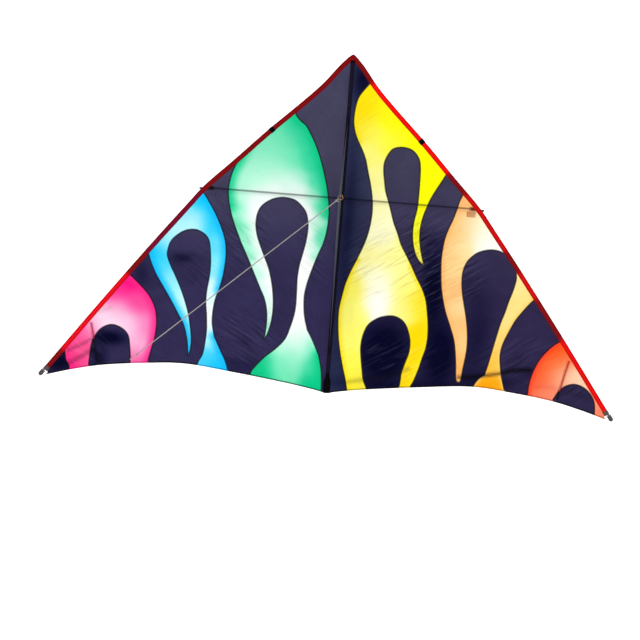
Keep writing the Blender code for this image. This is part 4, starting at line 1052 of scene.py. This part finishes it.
def build_sleeve(side, sign):
    start = float(np.interp(SLEEVE_START_DEPTH, AXIS[:, 1], AXIS_RUN))
    end = float(np.interp(SLEEVE_END_DEPTH, AXIS[:, 1], AXIS_RUN))
    frames = spar_frames(sign, 0.006, start, end)
    flat = flatness(frames[5])
    section = sleeve_section()
    rows = np.array(wrapped(section, frames, flat))
    rows[:, :, 0] = np.where(rows[:, :, 0] * sign < NOSE_CLEAR, sign * NOSE_CLEAR, rows[:, :, 0])
    girth = lengths(np.array(section))
    vs = np.maximum(SLEEVE_WIDTH - np.minimum(girth, girth[-1] - girth), 0)
    columns = len(section)
    faces = grid_faces(len(rows), columns)
    fitting = np.abs(frames[4] - TOW_DEPTH) < 0.0165
    window = set()
    for r in range(len(rows) - 1):
        if fitting[r] and fitting[r + 1]:
            window.update(r * (columns - 1) + c for c in range(columns // 2 + 1, columns - 3))
    faces = [f for k, f in enumerate(faces) if k not in window]
    uvs = [(u, v) for u in frames[5] for v in vs]
    sleeve = mesh_object(f"{side}_sleeve", rows.reshape(-1, 3), faces, "sleeve", uvs)
    solid = sleeve.modifiers.new("cloth", "SOLIDIFY")
    solid.thickness = 0.0003
    solid.offset = -1

    # Painted light from behind: the sleeve takes the red listed for the panel beside it, smoothed along its
    # length.
    beside = frames[4] + 0.012
    _, names = cloth_tint(sign * (np.interp(beside, SEAM[:, 1], SEAM[:, 0]) - 0.004), beside)
    colours = np.array([SLEEVE_TINTS[name] for name in names], float)
    kernel = np.ones(5) / 5
    padded = np.pad(colours, ((2, 2), (0, 0)), mode="edge")
    colours = np.stack([np.convolve(padded[:, k], kernel, "valid") for k in range(3)], axis=1)
    # Painted shade across the sleeve: darkest at its outer edge, where the spar inside stands against the
    # light from behind, and a little darker at both seams.
    stations = [0, 2, columns // 2, columns - 3, columns - 1]
    spar_shade = np.interp(np.arange(columns), stations, [0.94, 1.0, 0.80, 0.94, 0.9])
    set_tint(sleeve, (colours[:, None, :] * spar_shade[None, :, None]).reshape(-1, 3))
    return sleeve


def build_wrap(name, sign, depth_from, depth_to, grown, material):
    """Tape or webbing round the sleeve, with a small thickness at its edges."""
    start, end = np.interp([depth_from, depth_to], AXIS[:, 1], AXIS_RUN)
    frames = spar_frames(sign, (end - start) / 8, start, end + 1e-6)
    flat = np.maximum(flatness(frames[5]), 0.9)
    outer = np.array(wrapped(sleeve_section(grown), frames, flat))
    edge = np.array(wrapped(sleeve_section(grown * 0.3), frames, flat))
    rows = np.concatenate([edge[:1], outer, edge[-1:]])
    return strip(name, rows, material)


# ---------------------------------------------------------------- keel, spine and small sewn pieces
def keel_grid():
    """The keel's cloth, blown a little to the left between the spine and its free edge."""
    seam_y = SPINE_Y - 0.0074
    tip = -0.012
    rows = []
    for s in np.linspace(0, 1, 60):
        depth = KEEL_TOP_DEPTH + s * (KEEL_FOOT_DEPTH - KEEL_TOP_DEPTH)
        z = TOW_DEPTH - depth
        corner = KEEL_TOP_DEPTH if z > 0 else KEEL_FOOT_DEPTH
        front = tip + (seam_y - tip) * z / (TOW_DEPTH - corner)
        front = math.sqrt((front - tip) ** 2 + 0.010**2) + tip - 0.008
        front = min(front, seam_y - 0.002)
        row = []
        for t in np.linspace(0, 1, 24):
            y = seam_y + t * (front - seam_y)
            wide = (seam_y - front) / 0.3
            bow = -0.016 * wide * math.sin(math.pi * t)
            row.append((bow - 0.003 * wide * t, y, z))
        rows.append(row)
    return np.array(rows)


def build_keel():
    keel = strip("keel_cloth", keel_grid(), "keel")
    solid = keel.modifiers.new("cloth", "SOLIDIFY")
    solid.thickness = 0.0006
    solid.offset = 0
    edge = keel_grid()[:, -1]
    binding = []
    for k, here in enumerate(edge):
        after, before = edge[min(k + 1, len(edge) - 1)], edge[max(k - 1, 0)]
        along = (after - before) / np.linalg.norm(after - before)
        out = np.cross(along, (1, 0, 0))
        out = out if out[1] < 0 else -out
        binding.append([here + np.array((x, 0, 0)) + n * out for x, n in
                        ((-0.0008, -0.008), (-0.0012, -0.004), (-0.0010, 0.0), (0.0, 0.0008),
                         (0.0010, 0.0), (0.0012, -0.004), (0.0008, -0.008))])
    return keel, strip("keel_edge", binding, "tape")


def build_keel_patches():
    """Doubled cloth round the eyelet, on both sides of the keel."""
    patches = []
    for sign in (-1, 1):
        rows = []
        for r in np.linspace(0.0068, 0.046, 8):
            ring = []
            for a in np.linspace(math.radians(-64), math.radians(48), 16):
                y, z = r * math.cos(a) - 0.004, r * math.sin(a)
                if r < 0.008:
                    y, z = r * math.cos(a), r * math.sin(a)
                ring.append((sign * 0.0011 - 0.0008 * y / 0.04, y, z))
            rows.append(ring)
        patches.append(strip(f"keel_patch_{'left' if sign < 0 else 'right'}", rows, "tape"))
    return patches


def build_spine_pocket():
    """A sleeve of dark cloth round the spine, sewn to the middle of the sail."""
    zs = np.linspace(TOW_DEPTH - 1.628, TOW_DEPTH - 0.040, 240)
    around = np.radians(np.arange(0, 361, 24))
    rows = []
    for z in zs:
        radius = 0.0059 + 0.00025 * math.sin(z * 180) * math.sin(z * 37)
        rows.append([(radius * math.cos(a), SPINE_Y + radius * math.sin(a), z) for a in around])
    pieces = [strip("spine_pocket_cloth", rows, "pocket")]
    for side, sign in (("left", -1), ("right", 1)):
        for face, toward, reach in (("seam", 1, 0.0105), ("face", -1, 0.0095)):
            section = ((0.0056, 0.0022), (0.0075, 0.0012), (reach, 0.0012))
            rows = [[(sign * x, SPINE_Y + toward * y, z) for x, y in section] for z in zs]
            pieces.append(strip(f"spine_{face}_{side}", rows, "pocket"))
    return pieces


def build_nose():
    """A shield of red cloth over the nose, and the black tape below it."""
    shield = []
    for side, sign in (("right", 1), ("left", -1)):
        rows = []
        for x in sign * np.linspace(0, 0.030, 11):
            top = 0.0006 + 0.92 * (math.hypot(x, 0.006) - 0.006)
            bottom = 0.0345 - 0.25 * (abs(x) / 0.03) * 0.034
            rows.append([(x, SPINE_Y + y, TOW_DEPTH - (top + s * (bottom - top))) for s, y in NOSE_FOLD])
        behind = [[(x, 2 * SPINE_Y - y, z) for x, y, z in row] for row in rows]
        for face, points in (("front", rows), ("back", behind)):
            half = strip(f"nose_{face}_{side}", points, "patch")
            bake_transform(half)
            shield.append(half)
    tape = []
    for depth in np.linspace(0.030, 0.058, 6):
        half = 0.0125 * (0.066 - depth) / 0.036
        tape.append([(x * half, SPINE_Y - 0.0036, TOW_DEPTH - depth) for x in np.linspace(-1, 1, 5)])
    return shield, strip("nose_tape", tape, "tape")


def build_tail_pocket():
    """Black tape folded round the spine's foot: five-sided from the front."""
    rows = []
    for depth in np.linspace(1.552, 1.648, 16):
        half = 0.0070 + 0.0100 * smoothstep((depth - 1.552) / 0.045)
        half -= 0.0095 * smoothstep((depth - 1.634) / 0.014)
        arch = 0.0074
        row = [(-half, -0.0014)] + [(-arch * math.cos(a), -0.0014 - arch * math.sin(a))
                                    for a in np.radians((12, 40, 70, 110, 140, 168))] + [(half, -0.0014)]
        rows.append([(x, SPINE_Y + y, TOW_DEPTH - depth) for x, y in row])
    pocket = strip("tail_pocket_tape", rows, "tape")
    solid = pocket.modifiers.new("tape", "SOLIDIFY")
    solid.thickness = 0.0008
    return pocket


def build_fitting_patch(side, sign):
    across, down = np.meshgrid(sign * np.linspace(0.610, 0.652, 8), np.linspace(0.714, 0.742, 6))
    patch = strip(f"{side}_fitting_square", on_cloth(across, down, -0.0013), "hem")
    colours, _ = cloth_tint(across, down)
    set_tint(patch, colours * (PATCH_DIM if sign > 0 else 1.12))
    return patch


def build_batten(side, sign):
    """The rod's channel: an arched strip on the back of the cloth, and in front a narrow dark strip of
    painted shadow where the channel shows through.
    """
    route = smooth([(1.168, 1.398), (1.155, 1.455), (1.146, 1.500), (1.137, 1.545), (1.128, 1.592)], 6)
    offsets = np.array([-0.0095, -0.0060, -0.0028, 0.0, 0.0028, 0.0060, 0.0095])
    lifts = np.array([0.0009, 0.0012, 0.0040, 0.0052, 0.0040, 0.0012, 0.0009])
    colours, names = cloth_tint(sign * route[:, 0], route[:, 1])
    dark = (names == "dark")[:, None]
    # Painted shade for both strips: the cloth's own tint, far darker over the dark cloth, darker and redder
    # over the panels.
    colours = np.where(dark, colours * 0.25, colours * (0.84, 0.42, 0.46))
    pieces = []
    strips = (("channel", offsets, lifts), ("channel_shadow", offsets[2:5] * 0.9, np.full(3, -0.0012)))
    for name, shape, lift in strips:
        across = sign * (route[:, :1] + shape)
        down = np.repeat(route[:, 1:], len(shape), axis=1)
        piece = strip(f"{side}_batten_{name}", on_cloth(across, down, lift), "channel")
        set_tint(piece, np.repeat(colours, len(shape), axis=0))
        pieces.append(piece)
    rod = tube(f"{side}_batten_rod", on_cloth(sign * route[:, 0], route[:, 1], 0.0028), 0.0016, "rod", 10)
    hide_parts(f"{side}_tip_batten")
    return pieces + [rod]


def build_centre_tube():
    """The vinyl tube that joins the two spreader rods, in two halves."""
    low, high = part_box("spreader_centre_tube")
    y, z = (low.y + high.y) / 2, (low.z + high.z) / 2
    halves = []
    for side, sign in (("right", 1), ("left", -1)):
        line = [(sign * x, y, z) for x in np.linspace(-0.0005, 0.0545, 24)]
        half = tube(f"{side}_centre_tube", line, 0.0059, "vinyl", 20, ends=False)
        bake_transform(half)
        halves.append(half)
    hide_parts("spreader_centre_tube")
    return halves


# ---------------------------------------------------------------- line
def knot(name, centre, along, size, turns):
    """A small tied knot: a cord that winds over itself."""
    along = along.normalized()
    across = along.orthogonal().normalized()
    back = along.cross(across)
    points = []
    for k in range(70):
        a = 2 * math.pi * k / 69
        r = size * (0.52 + 0.30 * math.cos(turns * a))
        lift = size * 0.62 * math.sin(turns * a)
        points.append(centre + r * math.cos(2 * a) * across + r * math.sin(2 * a) * back + lift * along)
    return tube(name, points, size * 0.34, "line", 8, ends=False)


def build_line():
    """The line from the ring's hitch to its end loop, taut, as a curve of its own length."""
    pull = LINE_RUN.normalized()
    hitch = 2 * RING_RADIUS * pull
    first = hitch + RING_TO_KNOT * pull
    last = LINE_RUN - 0.045 * pull
    start, stop = first + 0.0045 * pull, last - 0.0045 * pull
    curve = bpy.data.curves.new("line_cord", "CURVE")
    curve.dimensions = "3D"
    curve.bevel_depth = LINE_DIAMETER / 2
    curve.bevel_resolution = 3
    curve.use_fill_caps = True
    spline = curve.splines.new("POLY")
    count = 60
    spline.points.add(count - 1)
    for k, point in enumerate(spline.points):
        point.co = (*start.lerp(stop, k / (count - 1)), 1)
    curve.materials.append(MATERIALS["line"])
    cord = bpy.data.objects.new("line_cord", curve)
    bpy.context.scene.collection.objects.link(cord)

    wire_way = (Vector((1, 0, 0)) - pull.x * pull).normalized()
    normal = pull.cross(wire_way)
    hitch_loop = [hitch + (0.0016 + 0.0050 * math.cos(a)) * pull + 0.0046 * math.sin(a) * normal
                  for a in np.linspace(0, 2 * math.pi, 40)]
    end_loop = []
    for a in np.linspace(0, 2 * math.pi, 48):
        half = 0.006 * math.sin(a) * (1 - 0.55 * math.cos(a))
        end_loop.append(LINE_RUN - 0.020 * pull + 0.0185 * math.cos(a) * pull + half * wire_way)
    tag = [first + out * wire_way + forth * pull
           for out, forth in ((0.004, 0.0), (0.010, -0.002), (0.016, 0.001))]
    pieces = [
        tube("hitch_loop", hitch_loop, 0.00125, "line", 10, ends=False),
        knot("hitch_knot", first, pull, 0.0052, 3),
        tube("hitch_tag", tag, 0.0012, "line", 8),
        knot("loop_knot", last, pull, 0.0048, 3),
        tube("line_loop", end_loop, 0.00125, "line", 10, ends=False),
    ]
    for piece in [cord] + pieces:
        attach(piece, "line")
    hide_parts("flying_line")
    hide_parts("line_hitch")
    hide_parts("tow_knot")
    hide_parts("end_knot")
    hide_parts("end_loop")


def build_elastic(side):
    """The shock-cord loop that holds the sleeve down over the spar's cap."""
    node = NODES[f"{side}_tip_elastic"]
    points = np.array([v.co for v in node.data.vertices])
    centre = points.mean(axis=0)
    _, _, axes = np.linalg.svd(points - centre)
    along = Vector(axes[0])
    along = along if along.z < 0 else -along
    across = Vector(axes[1])
    spans = [(points - centre) @ np.array(a) for a in (along, across)]
    reach, half = spans[0].max() - 0.0013, spans[1].max() - 0.0013
    foot = spans[0].min()
    one_side = [(foot, half), (reach - 0.004, half), (reach - 0.001, 0.75 * half), (reach, 0.4 * half)]
    line = one_side + [(reach, 0)] + [(a, -b) for a, b in reversed(one_side)]
    line = smooth([tuple(Vector(centre) + float(a) * along + float(b) * across) for a, b in line], 5)
    elastic = tube(f"{side}_shock_cord", line, 0.0026, "elastic", 10)
    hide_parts(f"{side}_tip_elastic")
    return elastic


# ---------------------------------------------------------------- camera, light and floor
def build_camera():
    camera = bpy.data.objects.new("camera", bpy.data.cameras.new("camera"))
    bpy.context.scene.collection.objects.link(camera)
    distance, view_width, roll = 12.0, 3.110, math.radians(4.63)
    camera.data.sensor_width = 36.0
    camera.data.lens = 36.0 * (distance + 0.33) / view_width
    camera.location = (-0.058, -distance, -0.592)
    camera.rotation_euler = (Matrix.Rotation(-roll, 4, "Y") @ Matrix.Rotation(math.pi / 2, 4, "X")).to_euler()
    camera.data.clip_end = 60.0
    bpy.context.scene.camera = camera


def area_light(name, place, target, size, power):
    light = bpy.data.lights.new(name, "AREA")
    light.size = size
    light.energy = power
    obj = bpy.data.objects.new(name, light)
    obj.location = place
    obj.rotation_euler = (Vector(target) - Vector(place)).to_track_quat("-Z", "Y").to_euler()
    bpy.context.scene.collection.objects.link(obj)


def see_through_from_behind(n):
    """Hides the sweep's far side from the camera, so that the kite can be seen from every side."""
    behind = n.add("NewGeometry").outputs["Backfacing"]
    hidden = n.math("MULTIPLY", behind, n.add("LightPath").outputs["Is Camera Ray"])
    clear = n.add("BsdfTransparent")
    n.put(n.output.inputs["Surface"], n.add("MixShader", {0: hidden, 1: n.shader, 2: clear}))


def build_studio():
    world = bpy.data.worlds.new("studio")
    world.use_nodes = True
    background = world.node_tree.nodes["Background"]
    background.inputs["Color"].default_value = (1.0, 1.0, 1.0, 1.0)
    seen = world.node_tree.nodes.new("ShaderNodeLightPath")
    strength = world.node_tree.nodes.new("ShaderNodeMapRange")
    strength.inputs["To Min"].default_value = WORLD_LIGHT
    strength.inputs["To Max"].default_value = WORLD_SEEN
    world.node_tree.links.new(seen.outputs["Is Camera Ray"], strength.inputs["Value"])
    world.node_tree.links.new(strength.outputs["Result"], background.inputs["Strength"])
    bpy.context.scene.world = world
    area_light("key", (-4.5, -7.0, 5.0), (0, 0.3, -0.2), 4.0, 235)
    area_light("fill", (5.0, -6.5, 1.0), (0, 0.3, -0.3), 5.0, 78)
    area_light("back", (1.0, 5.0, 4.0), (0, 0.3, -0.3), 4.0, 170)

    n = Nodes("studio_floor")
    noise = n.add("TexNoise", {"Scale": 1.2, "Detail": 5.0})
    colour = n.mix(noise.outputs[0], rgba((247, 247, 247)), rgba((252, 252, 252)))
    MATERIALS["floor"] = n.finish(Base_Color=colour, Roughness=0.9, Specular_IOR_Level=0.0,
                                  Emission_Color=(1.0, 1.0, 1.0, 1.0), Emission_Strength=0.5,
                                  Normal=n.bump(noise.outputs[0], 0.001, 0.2))
    see_through_from_behind(n)
    floor_z, near, bend, back_y, radius = -1.85, -14.0, 30, 6.0, 3.0
    profile = [(near, floor_z)] + [(back_y + radius * math.sin(a), floor_z + radius * (1 - math.cos(a)))
                                   for a in np.linspace(0, math.pi / 2, bend)] + [(back_y + radius, 10.0)]
    rows = [[(x, y, z) for x in np.linspace(14, -14, 3)] for y, z in profile]
    strip("studio_sweep", rows, "floor")


# ---------------------------------------------------------------- assembly
def ride_all(pieces, body):
    for piece in pieces:
        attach(piece, body)


def dress_cad_nodes():
    """Gives the rods, caps, fittings and metal parts that come from the CAD their own finishes."""
    finishes = {"rod": "rod", "batten": "rod", "ferrule": "ferrule", "fitting": "vinyl", "cap": "vinyl",
                "eyelet": "brass", "ring": "steel", "tube": "vinyl"}
    for name, node in NODES.items():
        kind = "cap" if name.endswith("tip_cap") else None
        if kind is None:
            kind = next((finish for word, finish in finishes.items() if word in name), None)
        if kind is None:
            continue
        node.data.materials.clear()
        node.data.materials.append(MATERIALS[kind])


def build_wing(side, sign):
    sail = build_sail(side, sign)
    hem = build_hem(side, sign)
    sleeve = build_sleeve(side, sign)
    band = build_wrap(f"{side}_band", sign, BAND_DEPTH - 0.0085, BAND_DEPTH + 0.0085, 0.0013, "tape")
    mouth_depths = (SLEEVE_END_DEPTH - 0.019, SLEEVE_END_DEPTH - 0.001)
    mouth = build_wrap(f"{side}_tip_tape", sign, *mouth_depths, 0.0012, "webbing")
    patch = build_fitting_patch(side, sign)
    channel, channel_shadow, batten = build_batten(side, sign)
    elastic = build_elastic(side)
    body = f"{side}_wing"
    ride_all([sail, channel, channel_shadow], body)
    ride_all([hem, patch, band], body)
    ride_all([sleeve], body)
    ride_all([mouth], body)
    ride_all([elastic], body)
    ride_all([batten], body)
    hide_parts(f"{side}_sail_panel")
    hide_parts(f"{side}_trailing_edge_hem")
    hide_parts(f"{side}_leading_edge_sleeve")
    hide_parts(f"{side}_spar_stop_band")
    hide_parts(f"{side}_tip_webbing")
    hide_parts(f"{side}_fitting_patch")
    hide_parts(f"{side}_batten_pocket")


build_camera()
build_line()
for wing_side, wing_sign in (("right", 1), ("left", -1)):
    build_wing(wing_side, wing_sign)
keel_cloth, keel_edge = build_keel()
keel_patches = build_keel_patches()
ride_all([keel_cloth, keel_edge] + keel_patches, "keel")
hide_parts("keel_panel")
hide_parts("keel_binding")
spine_cloth = build_spine_pocket()
ride_all(spine_cloth, "spine")
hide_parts("spine_pocket")
nose_shield, nose_tape = build_nose()
ride_all([nose_tape], "spine")
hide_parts("nose_patch")
tail = build_tail_pocket()
ride_all([tail], "spine")
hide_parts("tail_pocket")
for half_tube in build_centre_tube():
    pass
dress_cad_nodes()
build_studio()
bpy.context.scene.view_settings.view_transform = "Standard"
bpy.context.scene.view_settings.look = "None"
